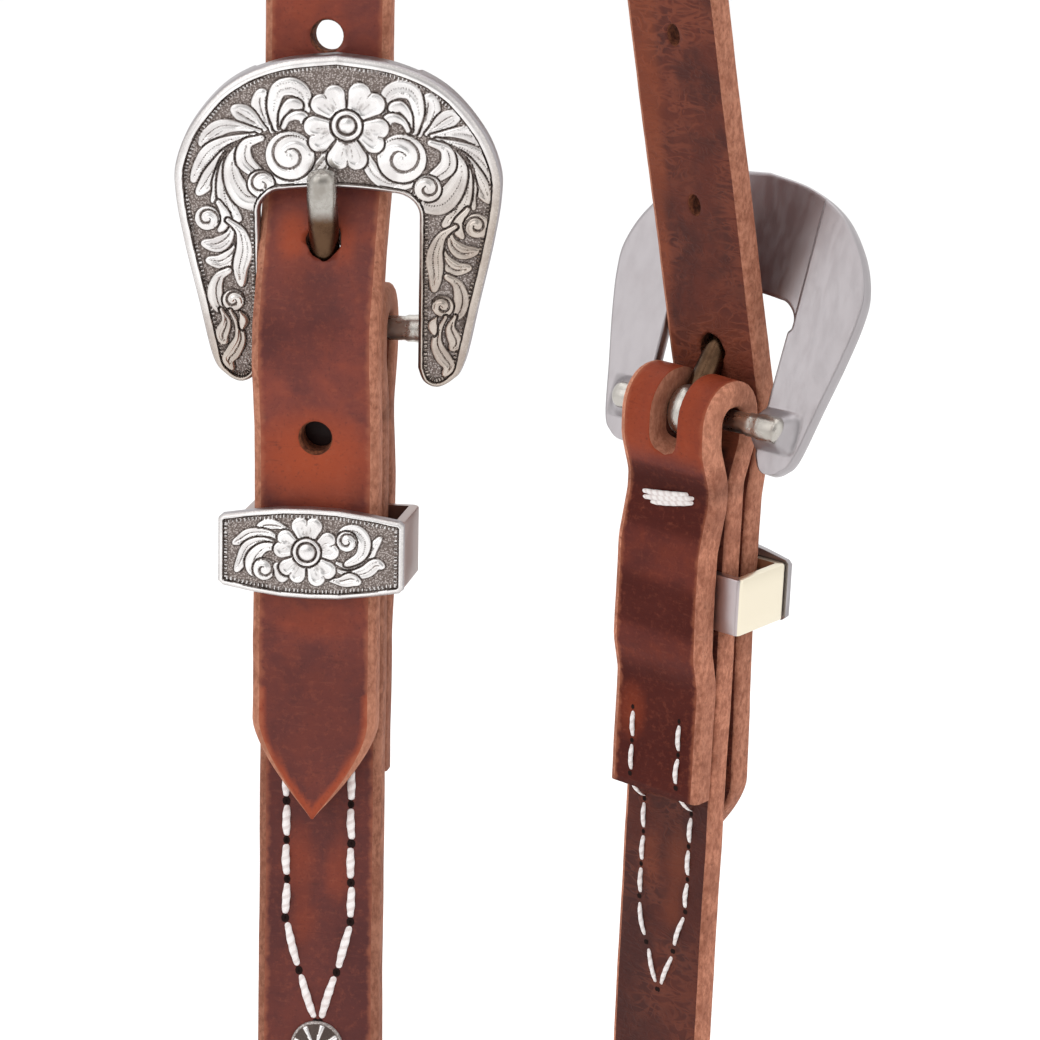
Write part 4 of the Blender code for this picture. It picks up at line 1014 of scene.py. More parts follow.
def tongue_line():
    rest_y = FRAME_FRONT_Y - TONGUE_REST_GAP - TONGUE_RADIUS
    eye_top = BAR_RADIUS + TONGUE_EYE_GAP + TONGUE_EYE_WALL / 2
    return [
        Vector((0, -TONGUE_EYE_WALL / 2, eye_top)),
        Vector((0, rest_y, FRAME_OPENING_TOP_Z - TONGUE_RADIUS / 2)),
        Vector((0, rest_y, TONGUE_TIP_Z - TONGUE_RADIUS)),
        Vector((0, rest_y, TONGUE_TIP_Z)),
    ]


def make_crown_strap():
    zones = [(0, NEAR_BILLET_DETAIL), (CROWN.length - FAR_BILLET_DETAIL, CROWN.length)]
    obj = dressed_strap("crown_strap_leather", CROWN, CROWN_ACROSS, crown_width, LEATHER_HALF, LEATHERS, 11,
                        FINE_STEP, zones)
    reaches = [FIRST_HOLE_FROM_TIP + HOLE_PITCH * k for k in range(HOLE_COUNT) if k != BUCKLED_HOLE]
    places = [place for reach in reaches for place in (reach, CROWN.length - reach)]
    far_end_first = CROWN.at(0.0)[0].x > CROWN.at(CROWN.length)[0].x

    def squeeze(distance):
        on_far = (distance < CROWN.length / 2) == far_end_first
        return (0.52, 0.80) if on_far else (1.0, 1.0)

    cut(obj, punch("crown_holes", CROWN, CROWN_ACROSS, places, HOLE_RADIUS - 0.1 * MM, 0.28 * MM,
                   LEATHER_HALF, squeeze))
    for side_name, cheek in CHEEKS.items():
        cut(obj, used_hole_cutter(side_name, cheek))
    crown_tones(obj)
    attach(obj, "straps")
    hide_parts("crown_strap")


def cheek_tones(obj):
    """Painted in the cheek's own frame, before it is placed."""
    x, y, z = vertex_array(obj).T / MM
    rear = y > 0.2

    def between(top, top_full, low_full, low):
        return soft_step(-z, top, top_full) * (1 - soft_step(-z, low_full, low))

    bands = 0.95 * soft_step(-z, 7, 8.5)
    bands = bands * (1 - 0.55 * between(16, 18.5, 23, 26)) * (1 - 0.60 * between(31, 33.5, 36, 40))
    dark = np.where(rear, bands, 0.52 + patches(x, z, (0.30, -6, -72, 6, 18), (0.35, 6, -84, 5, 20)))
    orange = np.where(z > -9, 0.68 * soft_step(z, -7.5, -4.5) * (0.85 + 0.15 * np.sin(x * 1.3)), 0)
    worn = patches(x, z, (0.40, -2.5, -69, 2.5, 6), (0.35, 2.5, -70, 2, 5), (0.35, -2, -77, 2, 4))
    orange = orange + np.where(rear, 0, worn)
    # Painted highlight: the orange patch low on the rear of the tail.
    orange = orange + np.where(rear & (z < -40) & (z > -60), patches(x, z, (0.40, 4.5, -46, 3, 5)), 0)
    # Painted shade: a dark line in the crease at the pinch, and darkness on the front where the billet lies
    # over it.
    painted_shade = 0.35 * np.clip(1 - np.abs(z + 10.5) / 2.0, 0, 1)
    painted_shade = painted_shade + np.where(~rear & (np.abs(x) < 5.5) & (z < -5) & (z > -24), 0.97, 0)
    paint(obj, np.stack([dark + 0.10 * smooth_noise(x * 0.5, z * 0.5, 5), orange, painted_shade], 1))


def slot_cutter(name, start, end, half_width):
    """A slot through the fold, as a tube that follows the leather."""
    steps = 40
    ring = ((-1, -1.3), (1, -1.3), (1.0, 0.6), (1.12, 1.3), (-1.12, 1.3), (-1.0, 0.6))
    verts = []
    for j in range(steps + 1):
        distance = start + (end - start) * j / steps
        reach = min(distance - start, end - distance)
        wide = max(half_width * math.sqrt(max(0.0, 1 - max(0.0, 1 - reach / half_width) ** 2)), 0.12 * MM)
        point, along = CHEEK.at(distance)
        out = X_AXIS.cross(along)
        verts += [point + X_AXIS * wide * side + out * LEATHER_HALF * level for side, level in ring]
    return fix_normals(mesh_object(name, verts, tube_faces(steps + 1, len(ring)), (EDGE,), smooth=False))


def make_cheek_strap(side_name, cheek):
    obj = dressed_strap(f"{side_name}_cheek_leather", CHEEK, lambda _: X_AXIS, lambda _: STRAP_HALF,
                        LEATHER_HALF, CHEEK_LEATHERS[side_name], 21 if side_name == "near" else 22,
                        FINE_STEP, [(CHEEK.length * 0.30, CHEEK.length)], waves=1.2)
    highest = max(CHEEK.pieces, key=lambda piece: piece[2].z)
    crest = highest[0] + highest[1] / 2
    reach = fold_radii()[0] * math.pi / 2 + FOLD_SLOT_DROP
    cut(obj, slot_cutter(f"{side_name}_slot_cut", crest - reach, crest + reach, FOLD_SLOT_WIDTH / 2))
    radius = POST_RADIUS + SEAT_GAP
    for height in screw_heights():
        ring = [(radius * c, height + radius * s) for c, s in circle(28)]
        cut(obj, prism(f"{side_name}_screw_cut", ring, -7.0 * MM, 7.0 * MM, LINING, Matrix.Identity(4)))
    cheek_tones(obj)
    obj.matrix_world = cheek_matrix(cheek)
    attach(obj, "straps")
    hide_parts(f"{side_name}_cheek_strap")


# Thread
def thread_bit(start, end, out, radius, rise, seed):
    """One stitch: a twisted, slightly flattened thread that dives into the leather at both ends."""
    rng = np.random.default_rng(seed)
    rings, sides = 15, 12
    length = (end - start).length
    along = (end - start) / length
    across = along.cross(out).normalized()
    phase = rng.uniform(0, 6.28)
    bow = rng.uniform(-0.10, 0.10) * MM
    verts, uvs = [], []
    for i in range(rings):
        t = i / (rings - 1)
        swell = math.sin(math.pi * t) ** 0.5
        centre = start + along * (length * t) + out * (rise * (-0.9 + 1.5 * swell)) + across * (bow * swell)
        fat = radius * (0.50 + 0.50 * swell)
        for k in range(sides):
            a = 2 * math.pi * k / sides
            r = fat * (1 + 0.07 * math.cos(2 * (a + phase) - 2 * math.pi * t * length / TWIST_PITCH))
            verts.append(centre + across * (r * math.cos(a)) + out * (r * 0.78 * math.sin(a)))
            uvs.append((length * t, a))
    return verts, tube_faces(rings, sides), uvs


class Seam:
    """Stitches that become one object."""

    def __init__(self):
        self.parts, self.uvs = [], []

    def sew(self, start, end, out, radius, rise, seed):
        verts, faces, uvs = thread_bit(start, end, out, radius, rise, seed)
        self.parts.append((verts, faces))
        self.uvs += uvs

    def finished(self, name):
        return fix_normals(mesh_object(name, *join_arrays(self.parts), (THREAD,), uvs=self.uvs))


def hole_bit(centre, out, radius):
    """Painted shade of an awl hole: a dark, shallow dish just over the surface."""
    sides = 12
    verts = []
    for ring, lift in ((1.0, 0.030), (0.55, 0.036)):
        for c, s in circle(sides):
            in_plane = Vector((radius * 0.85 * ring * s, 0, radius * 1.15 * ring * c))
            verts.append(centre + in_plane + out * (lift * MM))
    return verts, tube_faces(2, sides, "open") + [tuple(sides + k for k in range(sides))]


def stitch_runs():
    """The two rows and their V, as stretches from hole to hole, in the plane of the strap."""
    runs = []
    for side in (-1, 1):
        z = STITCH_TOP_Z
        while z - STITCH_PITCH > STITCH_V_Z - 1.0 * MM:
            runs.append(((side * STITCH_ROW, z), (side * STITCH_ROW, z - STITCH_PITCH)))
            z -= STITCH_PITCH
        first = Vector((side * STITCH_ROW, z))
        last = Vector((side * STITCH_TURN, STITCH_TIP_Z))
        middle = first.lerp(last, 0.5) + Vector((side * STITCH_TURN, 0))
        runs.append((tuple(first), tuple(middle)))
        runs.append((tuple(middle), tuple(last)))
    return runs


def surface_point(x, z, front):
    """A point of the sewn strap's face: the front grain side, or the rear of the tail or strap."""
    if front:
        return Vector((x, -LAYER_Y - LEATHER_HALF, z))
    return Vector((x, (LAYER_Y if z > TAIL_END_Z else -LAYER_Y) + LEATHER_HALF, z))


def make_stitches(side_name, cheek):
    seam, holes = Seam(), []
    seed = 100 if side_name == "near" else 500
    for front in (True, False):
        out = Vector((0, -1 if front else 1, 0))
        radius = THREAD_RADIUS * (1.0 if front else REAR_THREAD_SHARE)
        hole_radius, most_spare = (0.50 * MM, 0.42 * MM) if front else (0.34 * MM, 0.75 * MM)
        for first, last in stitch_runs():
            seed += 1
            rng = np.random.default_rng(seed)
            start, end = [surface_point(x, z, front) + X_AXIS * rng.uniform(-STITCH_JITTER, STITCH_JITTER)
                          for x, z in (first, last)]
            holes += [hole_bit(place, out, hole_radius) for place in (start, end)]
            if start.y != end.y:
                start.z = min(start.z, max(end.z + STITCH_LENGTH, TAIL_END_Z))
            run = end - start
            spare = min(max(0.0, (run.length - STITCH_LENGTH) / 2), most_spare)
            inset = run.normalized() * spare
            seam.sew(start + inset, end - inset, out, radius, STITCH_RISE, seed)
    face = LAYER_Y + LEATHER_HALF
    place = 0.5 * (PINCH_TOP_Z + PINCH_END_Z) - BAR_STITCH_DROP
    for k in range(4):
        seed += 1
        odd = k % 2
        lift = (k - 1.5) * BAR_STITCH_SPACE
        start = Vector((-4.8 * MM + 0.9 * MM * odd, face, place + lift * 0.8 + 1.1 * MM))
        end = Vector((4.0 * MM + 1.2 * MM * odd, face, place + lift * 1.1 - 0.5 * MM))
        seam.sew(start, end, Vector((0, 1, 0)), THREAD_RADIUS * 0.85, 0.5 * MM + 0.1 * MM * odd, seed)
        height = start.z + BAR_STITCH_FRONT_LIFT
        seam.sew(Vector((start.x, -face, height)), Vector((end.x, -face, height)), Vector((0, -1, 0)),
                 THREAD_RADIUS * 0.7, 0.30 * MM, seed + 50)
    thread = seam.finished(f"{side_name}_stitches")
    thread.matrix_world = cheek_matrix(cheek)
    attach(thread, "straps")
    dark = mesh_object(f"{side_name}_awl_holes", *join_arrays(holes), (AWL_HOLE_SHADE,), matrix=cheek_matrix(cheek))
    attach(dark, "straps")


# Relief of the silver
def drawn(u, v, flip=False):
    """A place on the buckle's drawing as metres from the bar. The right half mirrors the left."""
    x = DRAWING_X[0] + DRAWING_X[1] * u + DRAWING_X[2] * v
    z = DRAWING_Z[0] + DRAWING_Z[1] * u + DRAWING_Z[2] * v
    if flip:
        x = 2 * FLOWER_OFFSET * min(1.0, max(0.0, (z - 8.0) / 14.0)) - x
    return x * MM, z * MM


def curve_points(points, count=26):
    """A smooth line through given places."""
    pts = [np.array(p, float) for p in points]
    out = []
    spans = len(pts) - 1
    for i in range(count):
        t = i / (count - 1) * spans
        k = min(int(t), spans - 1)
        u = t - k
        p0, p1, p2, p3 = pts[max(k - 1, 0)], pts[k], pts[k + 1], pts[min(k + 2, spans)]
        out.append(0.5 * (2 * p1 + (p2 - p0) * u + (2 * p0 - 5 * p1 + 4 * p2 - p3) * u * u
                          + (3 * p1 - p0 - 3 * p2 + p3) * u ** 3))
    return np.array(out)


def around(centre, reach, angle):
    return np.stack([centre[0] + reach * np.cos(angle), centre[1] + reach * np.sin(angle)], 1)


class Relief:
    """A carved height field over places in a plane: strokes are laid in order, each with a cut round it."""

    def __init__(self, x, z, plump):
        self.x, self.z, self.plump = x, z, plump
        self.h = np.zeros_like(x)

    def near(self, pts, margin):
        lo, hi = pts.min(0) - margin, pts.max(0) + margin
        return np.nonzero((self.x > lo[0]) & (self.x < hi[0]) & (self.z > lo[1]) & (self.z < hi[1]))[0]

    def distances(self, where, pts):
        dx = self.x[where][:, None] - pts[None, :, 0]
        dz = self.z[where][:, None] - pts[None, :, 1]
        return np.sqrt(dx * dx + dz * dz)

    def stroke(self, pts, radii, height=1.0, gap=0.15 * MM, crown=0.42):
        """Raise a rounded stroke and sink a fine cut round it."""
        pts, radii = np.asarray(pts), np.asarray(radii)
        where = self.near(pts, radii.max() + gap)
        if not len(where):
            return
        edge = radii[None, :] - self.distances(where, pts)
        best = edge.argmax(1)
        inside = edge[np.arange(len(where)), best]
        share = np.clip(inside / np.maximum(radii[best], 1e-6), 0, 1)
        wall = soft_step(inside, 0.0, 0.11 * MM)
        dome = height * wall * (1 - crown * (1 - share) ** 2)
        floor_height = 0.02
        values = self.h[where]
        sunk = np.minimum(values, floor_height + 0.22 * np.clip(-inside / gap, 0, 1))
        values = np.where(inside > -gap, sunk, values)
        self.h[where] = np.where(inside > 0, np.maximum(dome, floor_height), values)

    def groove(self, pts, half, depth=0.75, taper=True):
        """Cut a line, thinner towards its ends. A wide, shallow one makes a dish."""
        pts = np.asarray(pts)
        half = np.broadcast_to(half, len(pts))
        where = self.near(pts, half.max() * 1.5)
        if not len(where):
            return
        t = np.linspace(0, 1, len(pts))
        wide = half * (np.clip(np.minimum(t, 1 - t) * 5, 0.35, 1) if taper else 1.0)
        ratio = (self.distances(where, pts) / wide[None, :]).min(1)
        cut_share = np.clip(1 - (ratio / 1.25) ** 2, 0, 1)
        self.h[where] -= depth * self.h[where] * cut_share * (2 - cut_share)

    def leaf(self, points, width, vein=True, root=0.30, peak=0.62, height=0.97, second=None):
        """A leaf that swells towards its rounded tip, hollowed along its middle, with a cut vein."""
        width *= self.plump
        pts = curve_points(points, 36)
        t = np.linspace(0, 1, len(pts))
        rise = root + (1 - root) * soft_step(t, 0, peak)
        fall = np.sqrt(np.clip((1 - t) / (1 - peak), 0, 1))
        radii = width * np.where(t < peak, rise, 0.25 + 0.75 * fall)
        self.stroke(pts, radii, height * (0.86 + 0.14 * (hash_share(pts[-1]))))
        if vein:
            along = np.gradient(pts, axis=0)
            along /= np.maximum(np.linalg.norm(along, axis=1), 1e-9)[:, None]
            side = np.stack([-along[:, 1], along[:, 0]], 1)
            lean = 0.16 if second is None or second < 0 else -0.16
            inner = slice(6, 32)
            middle = (pts + side * (lean * radii)[:, None])[inner]
            self.groove(middle, (0.42 * radii)[inner], 0.26)
            self.groove(middle, 0.080 * MM, 0.52)
            if second is not None:
                self.groove((pts + side * (second * radii)[:, None])[9:32], 0.060 * MM, 0.42)

    def scroll(self, centre, size, start, turns, hand=1, height=1.0):
        """A round boss with a spiral step cut in from its edge."""
        self.stroke(np.array([centre]), np.array([size]), height, crown=0.30)
        t = np.linspace(0, 1, 70)
        angle = start + hand * turns * 2 * math.pi * t
        reach = size * (0.96 - 0.74 * t ** 0.9)
        inward = 1 - (0.13 * size + 0.05 * MM) / np.maximum(reach, 0.3 * size)
        self.groove(around(centre, reach * inward, angle), 0.17 * size, 0.24)
        self.groove(around(centre, reach, angle), 0.095 * MM + 0.02 * size, 0.70)

    def bead(self, centre, radius, height=1.0):
        self.stroke(np.array([centre]), np.array([radius]), height, crown=0.60)

    def ring(self, centre, radius, thick, height=1.0):
        angle = np.linspace(0, 2 * math.pi, 48)
        self.stroke(around(centre, radius, angle), np.full(48, thick), height, 0.08 * MM)

    def petal(self, centre, angle, reach, height=0.97):
        """A heart-shaped petal: two lobes on one foot, its middle dished and its lips raised."""
        c, s = math.cos(angle), math.sin(angle)

        def at(a, b):
            return centre[0] + reach * (a * c - b * s), centre[1] + reach * (a * s + b * c)

        def line(side, count, *places):
            return curve_points([at(a, b * side) for a, b in places], count)

        sides = (-1, 1)
        lobes = [line(side, 16, (0.20, 0.01), (0.42, 0.07), (0.62, 0.15), (0.742, 0.190)) for side in sides]
        radii = reach * np.linspace(0.15, 0.262, 16)
        self.stroke(np.concatenate(lobes), np.tile(radii, 2), height, crown=0.35)
        for side in sides:
            self.groove(line(side, 14, (0.46, 0.05), (0.62, 0.13), (0.80, 0.19)), 0.115 * reach, 0.30)
            self.groove(line(side, 14, (0.40, 0.03), (0.58, 0.10), (0.74, 0.12)), 0.06 * MM, 0.35)
        self.groove(line(1, 8, (0.80, 0.0), (0.90, 0.0), (0.99, 0.0)), 0.08 * MM, 0.45, False)

    def flower(self, centre, reach, first, heart=0.295):
        """Five petals round a ring and a bead."""
        for k in range(5):
            angle = first + 2 * math.pi * k / 5 + 0.05 * math.sin(3.1 * k)
            self.petal(centre, angle, reach * (0.99 + 0.05 * math.sin(2.3 * k + 1.2)))
        self.stroke(np.array([centre]), np.array([reach * (heart + 0.085)]), 0.22, 0.08 * MM)
        self.ring(centre, reach * heart, reach * 0.065, 1.0)
        self.bead(centre, reach * (heart - 0.09), 1.0)


def hash_share(place):
    """A steady number between 0 and 1 for a place."""
    return 0.5 + 0.5 * math.sin(place[0] / MM * 12.9 + place[1] / MM * 78.2)


def draw_buckle(relief):
    """Scrolls, plumes and a five-petalled flower, a traditional western pattern."""
    for flip in (False, True):
        def leaf(width, *places, **shape):
            relief.leaf([drawn(u, v, flip) for u, v in places], width * DRAW_UNIT, **shape)

        def spiral(u, v, size, start, turns, hand):
            angle = math.pi - start if flip else start
            relief.scroll(drawn(u, v, flip), size * DRAW_UNIT, angle, turns, -hand if flip else hand)

        # plumes that fan out over the shoulder
        leaf(72, (860, 730), (800, 610), (775, 510), (780, 430), second=-0.45)
        leaf(62, (800, 720), (710, 650), (620, 590), (555, 560), second=-0.45)
        leaf(56, (760, 735), (600, 700), (460, 700), (350, 765), (290, 835), second=0.45)
        leaf(56, (720, 760), (540, 800), (380, 880), (280, 1010), (225, 1125), second=0.45)
        leaf(56, (680, 790), (510, 890), (400, 1040), (320, 1160), (265, 1225), second=0.45)
        leaf(44, (650, 800), (500, 920), (440, 1090), (420, 1200), (380, 1290), second=0.45)
        leaf(60, (640, 810), (505, 960), (480, 1150), (510, 1330), (590, 1440), second=0.45)
        # the thick crescent that ends in a ball
        leaf(78, (600, 860), (530, 980), (550, 1130), (640, 1255), (770, 1265), (850, 1215),
             root=0.42, peak=0.66)
        leaf(56, (770, 790), (650, 840), (635, 960), (715, 1045), (760, 1050), root=0.45, peak=0.55)
        # the hood beside the flower, with its curls inside
        leaf(60, (905, 700), (868, 560), (905, 415), (1010, 380), (1100, 430), (1125, 540), (1095, 620),
             root=0.55, peak=0.50, second=0.45)
        leaf(40, (935, 690), (945, 590), (1000, 520), (1060, 530), (1060, 575),
             vein=False, root=0.55, peak=0.7)
        leaf(36, (950, 700), (985, 640), (1050, 610), (1110, 625), (1095, 665),
             vein=False, root=0.55, peak=0.7)
        # the large scroll, with its tail towards the flower
        leaf(62, (900, 1080), (1040, 1120), (1180, 1075), (1275, 970), (1290, 880), root=0.9, peak=0.25)
        spiral(1000, 925, 200, 0.15, 1.35, 1)
        spiral(768, 1150, 112, 0.4, 1.10, 1)
        # down the leg
        leaf(40, (425, 1300), (470, 1380), (480, 1460), (430, 1525), vein=False, root=0.5)
        spiral(334, 1424, 104, -0.9, 1.15, 1)
        leaf(54, (545, 1470), (500, 1580), (410, 1640), (300, 1625), second=0.4)
        leaf(52, (600, 1560), (545, 1700), (450, 1775), (335, 1760), second=0.4)
        leaf(58, (500, 1440), (600, 1530), (630, 1680), (600, 1830), (610, 1960), second=0.4)
        leaf(54, (500, 1850), (425, 1900), (390, 2010), (412, 2120), (460, 2180), root=0.5)
        spiral(540, 2085, 92, -0.2, 1.10, 1)
        leaf(48, (440, 2160), (478, 2260), (440, 2370), (470, 2425))
        leaf(52, (515, 2170), (575, 2290), (590, 2400), (540, 2500), (490, 2570), (530, 2640))
        leaf(34, (590, 2180), (622, 2240), (610, 2310), vein=False)
    relief.flower(drawn(1452, 690), 350 * DRAW_UNIT, 54 * DEGREE)


def frame_half_outlines():
    """The right half: the outer edge from the top to the foot's tip, and the inner edge back to it."""
    knots = [(FRAME_HALF_WIDTH * x, FRAME_TOP_Z * z) for x, z in FRAME_OUTER_SHARES]
    knots += [(FRAME_HALF_WIDTH * x, FRAME_FOOT_DROP * z) for x, z in FRAME_FOOT_SHARES]
    line = list(curve_points(knots, 14 * (len(knots) - 1) + 1))
    corner_x = FRAME_OPENING_HALF - FRAME_OPENING_CORNER
    corner_z = FRAME_OPENING_TOP_Z - FRAME_OPENING_CORNER
    for k in range(13):
        angle = math.pi / 2 * k / 12
        z = corner_z + FRAME_OPENING_CORNER * math.sin(angle) * (1 - FRAME_OPENING_ARCH_SHARE)
        line.append((corner_x + FRAME_OPENING_CORNER * math.cos(angle), z))
    arch_z = line[-1][1]
    for k in range(1, 9):
        share = k / 8
        rise = 1 - (1 - share) ** 2
        line.append((corner_x * (1 - share), arch_z + (FRAME_OPENING_TOP_Z - arch_z) * rise))
    line = np.array(line)
    tip = line[:, 1].argmin()
    return line[:tip + 1], line[tip:][::-1]


def resample(line, shares):
    seg = np.sqrt((np.diff(line, axis=0) ** 2).sum(1))
    total = np.concatenate([[0], np.cumsum(seg)])
    places = np.asarray(shares) * total[-1]
    return np.stack([np.interp(places, total, line[:, 0]), np.interp(places, total, line[:, 1])], 1)


def lug_bulge(x, z):
    share = z / LUG_HALF_HEIGHT
    fade = soft_step(LUG_EDGE_X - np.abs(x), 0, LUG_EDGE_X - LUG_FULL_X)
    return LUG_DEPTH * np.clip(1 - share * share, 0, 1) ** 1.3 * fade


def border(relief, outline, tick_on, rims):
    """A bevelled rim along the outline, with a row of punched ticks. Returns the colour level of each place,
    held lower on the rim's outer slope as painted shade.
    """
    tree = KDTree(len(outline))
    for k, (a, b) in enumerate(outline):
        tree.insert((a, b, 0), k)
    tree.balance()
    lengths = np.concatenate([[0], np.cumsum(np.sqrt((np.diff(outline, axis=0) ** 2).sum(1)))])
    places = np.array([tree.find((a, b, 0))[1:] for a, b in zip(relief.x, relief.z)], float)
    index, gap = places[:, 0].astype(int), places[:, 1]
    tick = soft_step(np.cos(2 * math.pi * lengths[index] / TICK_PITCH), -0.25, 0.55)
    beyond = gap - rims[index]
    band = soft_step(beyond, 0.05 * MM, 0.14 * MM) * (1 - soft_step(beyond, TICK_LENGTH * 0.8, TICK_LENGTH))
    band = band * tick_on[index]
    ground = relief.h < 0.34
    punched = np.where(band > 0.3, 0.12 + 0.50 * tick * band, relief.h)
    relief.h = np.where(ground & (beyond > 0) & (band > 0.05), np.maximum(relief.h * 0.6, punched), relief.h)
    moat = (beyond > 0) & (beyond < 0.11 * MM)
    relief.h = np.where(moat, np.minimum(relief.h, 0.06), relief.h)
    slope = np.clip(gap / (0.62 * rims[index]), 0, 1)
    rise = soft_step(-beyond, 0.0, 0.09 * MM) * (0.45 + 0.55 * np.sin(slope * math.pi / 2))
    relief.h = np.where(beyond < 0, rise, relief.h)
    # Painted shade: the rim's outer slope is held at a lower, darker colour level.
    return np.where((beyond < 0) & (slope < 1), np.minimum(relief.h, 0.50 + 0.16 * slope), relief.h)


def carved(x, z, plump, seed):
    """A height field with a grainy ground, ready for the drawing."""
    relief = Relief(x.ravel(), z.ravel(), plump)
    relief.h += 0.17 + 0.16 * smooth_noise(relief.x / MM * 11, relief.z / MM * 11, seed)
    return relief


def frame_mesh(name):
    steps, wide, back_wide = 430, 126, 40
    shares = np.linspace(0, 1, steps)
    outer, inner = [resample(line, shares) for line in frame_half_outlines()]
    outer, inner = [np.concatenate([(line * [-1, 1])[::-1][:-1], line]) for line in (outer, inner)]
    on_leg = soft_step(-inner[:, 0], 7.0 * MM, 9.5 * MM) * soft_step(inner[:, 1], -6.0 * MM, -2.0 * MM)
    inner[:, 0] += LEG_INSET * on_leg
    rows = len(outer)

    def span(share):
        return outer[:, None, :] * (1 - share)[None, :, None] + inner[:, None, :] * share[None, :, None]

    front, back = span(np.linspace(0, 1, wide)), span(np.linspace(1, 0, back_wide))
    outline = np.concatenate([outer, inner[::-1]])
    on_outer = np.arange(len(outline)) < rows
    tick_on = np.where(on_outer | (np.abs(outline[:, 0]) > 8.5 * MM), 1.0, 0.0)
    above_foot = soft_step(outline[:, 1], -6.3 * MM, -1.5 * MM)
    rims = FOOT_RIM_WIDTH + (np.where(on_outer, RIM_WIDTH, INNER_RIM_WIDTH) - FOOT_RIM_WIDTH) * above_foot
    relief = carved(front[..., 0], front[..., 1], 1.30, 3)
    draw_buckle(relief)
    tint = border(relief, outline, tick_on, rims).reshape(rows, wide)
    front_y = FRAME_FRONT_Y + CARVED_FACE_DROP - RELIEF * relief.h.reshape(rows, wide)
    bx, bz = back[..., 0], back[..., 1]
    recess_edge = RECESS_HALF_WIDTH + RECESS_EASE
    recess = 1 - soft_step(np.abs(bx), recess_edge, recess_edge + RECESS_STEP)
    recess = recess * soft_step(bz, 14 * MM, 15 * MM)
    back_y = FRAME_BACK_Y + lug_bulge(bx, bz) - (RECESS_DEPTH + RECESS_EXTRA_DEPTH) * recess
    across = outer - inner
    length = np.maximum(np.linalg.norm(across, axis=1), 1e-9)
    push = across / length[:, None] * np.minimum(FRAME_DRAFT, length * 0.2)[:, None]

    def side_row(line, y, share):
        place = line + push * share
        return np.stack([place[:, 0], y, place[:, 1]], 1)[:, None]

    rings = np.concatenate([
        np.stack([front[..., 0], front_y, front[..., 1]], 2),
        side_row(inner, front_y[:, -1] + 0.25 * MM, -0.6), side_row(inner, back_y[:, 0] - 0.15 * MM, -1.0),
        np.stack([bx, back_y, bz], 2),
        side_row(outer, back_y[:, -1] - 0.15 * MM, 1.0), side_row(outer, front_y[:, 0] + 0.25 * MM, 0.6)], 1)
    ring = rings.shape[1]
    plain = np.tile([0.75, 0.7] + [0.8] * back_wide + [0.7, 0.75], (rows, 1))
    slots = ([0] * (wide - 1) + [1] * (ring - wide + 1)) * (rows - 1)
    obj = mesh_object(name, rings.reshape(-1, 3), tube_faces(rows, ring, "open"),
                      (FRAME_SILVER, PLAIN_SILVER), slots)
    store_relief(obj, np.concatenate([tint, plain], 1).ravel())
    fix_normals(obj, 0.002 * MM)
    obj.data.set_sharp_from_angle(angle=60 * DEGREE)
    return obj


def twin(obj, name):
    made = bpy.data.objects.new(name, obj.data.copy())
    bpy.context.scene.collection.objects.link(made)
    return made


def make_buckle_frame(side_name, cheek):
    first = bpy.data.objects.get("near_engraved_frame")
    obj = twin(first, "far_engraved_frame") if first else frame_mesh("near_engraved_frame")
    obj.matrix_world = buckle_matrix(cheek)
    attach(obj, f"{side_name}_buckle")
    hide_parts(f"{side_name}_buckle_frame")
    return obj


def revolve(name, profile, material, matrix):
    """A turned piece: (radius, height) from bottom to top, round Z."""
    sides = 48
    verts = [(radius * c, radius * s, height) for radius, height in profile for c, s in circle(sides)]
    obj = mesh_object(name, verts, tube_faces(len(profile), sides, "open"), (material,))
    fix_normals(obj, 0.001 * MM)
    obj.data.set_sharp_from_angle(angle=50 * DEGREE)
    obj.matrix_world = matrix
    return obj


def make_bar(side_name, cheek):
    """The bar, with a shoulder inside each leg and a hammered head in each lug."""
    inner = FRAME_OPENING_HALF - 1.1 * MM
    outer = FRAME_OPENING_HALF + BAR_HEAD_LENGTH
    stout = BAR_RADIUS + 0.18 * MM
    half = [(BAR_RADIUS, 0.0), (BAR_RADIUS, STRAP_HALF + 0.1 * MM), (stout, STRAP_HALF + 0.5 * MM),
            (stout, inner - 0.1 * MM), (BAR_HEAD_RADIUS * 0.94, FRAME_OPENING_HALF - 0.15 * MM),
            (BAR_HEAD_RADIUS, FRAME_OPENING_HALF + 0.2 * MM)]
    for k in range(9):
        a = math.pi / 2 * k / 8
        half.append((BAR_HEAD_RADIUS * math.cos(a), outer - BAR_HEAD_RADIUS * 0.62 * (1 - math.sin(a))))
    profile = [(r, -h) for r, h in reversed(half[1:])] + half
    place = buckle_matrix(cheek) @ Matrix.Rotation(math.pi / 2, 4, "Y")
    obj = revolve(f"{side_name}_turned_bar", profile, STEEL, place)
    co = vertex_array(obj)
    dents = smooth_noise(co[:, 0] / MM * 0.7 + co[:, 2] / MM * 0.9, co[:, 1] / MM * 0.7, 9)
    head = soft_step(np.abs(co[:, 2]), FRAME_OPENING_HALF, FRAME_OPENING_HALF + 1 * MM)
    co = co * (1 - 0.025 * (dents * head)[:, None])
    obj.data.vertices.foreach_set("co", co.astype(np.float32).ravel())
    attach(obj, f"{side_name}_buckle")
    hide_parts(f"{side_name}_buckle_bar")


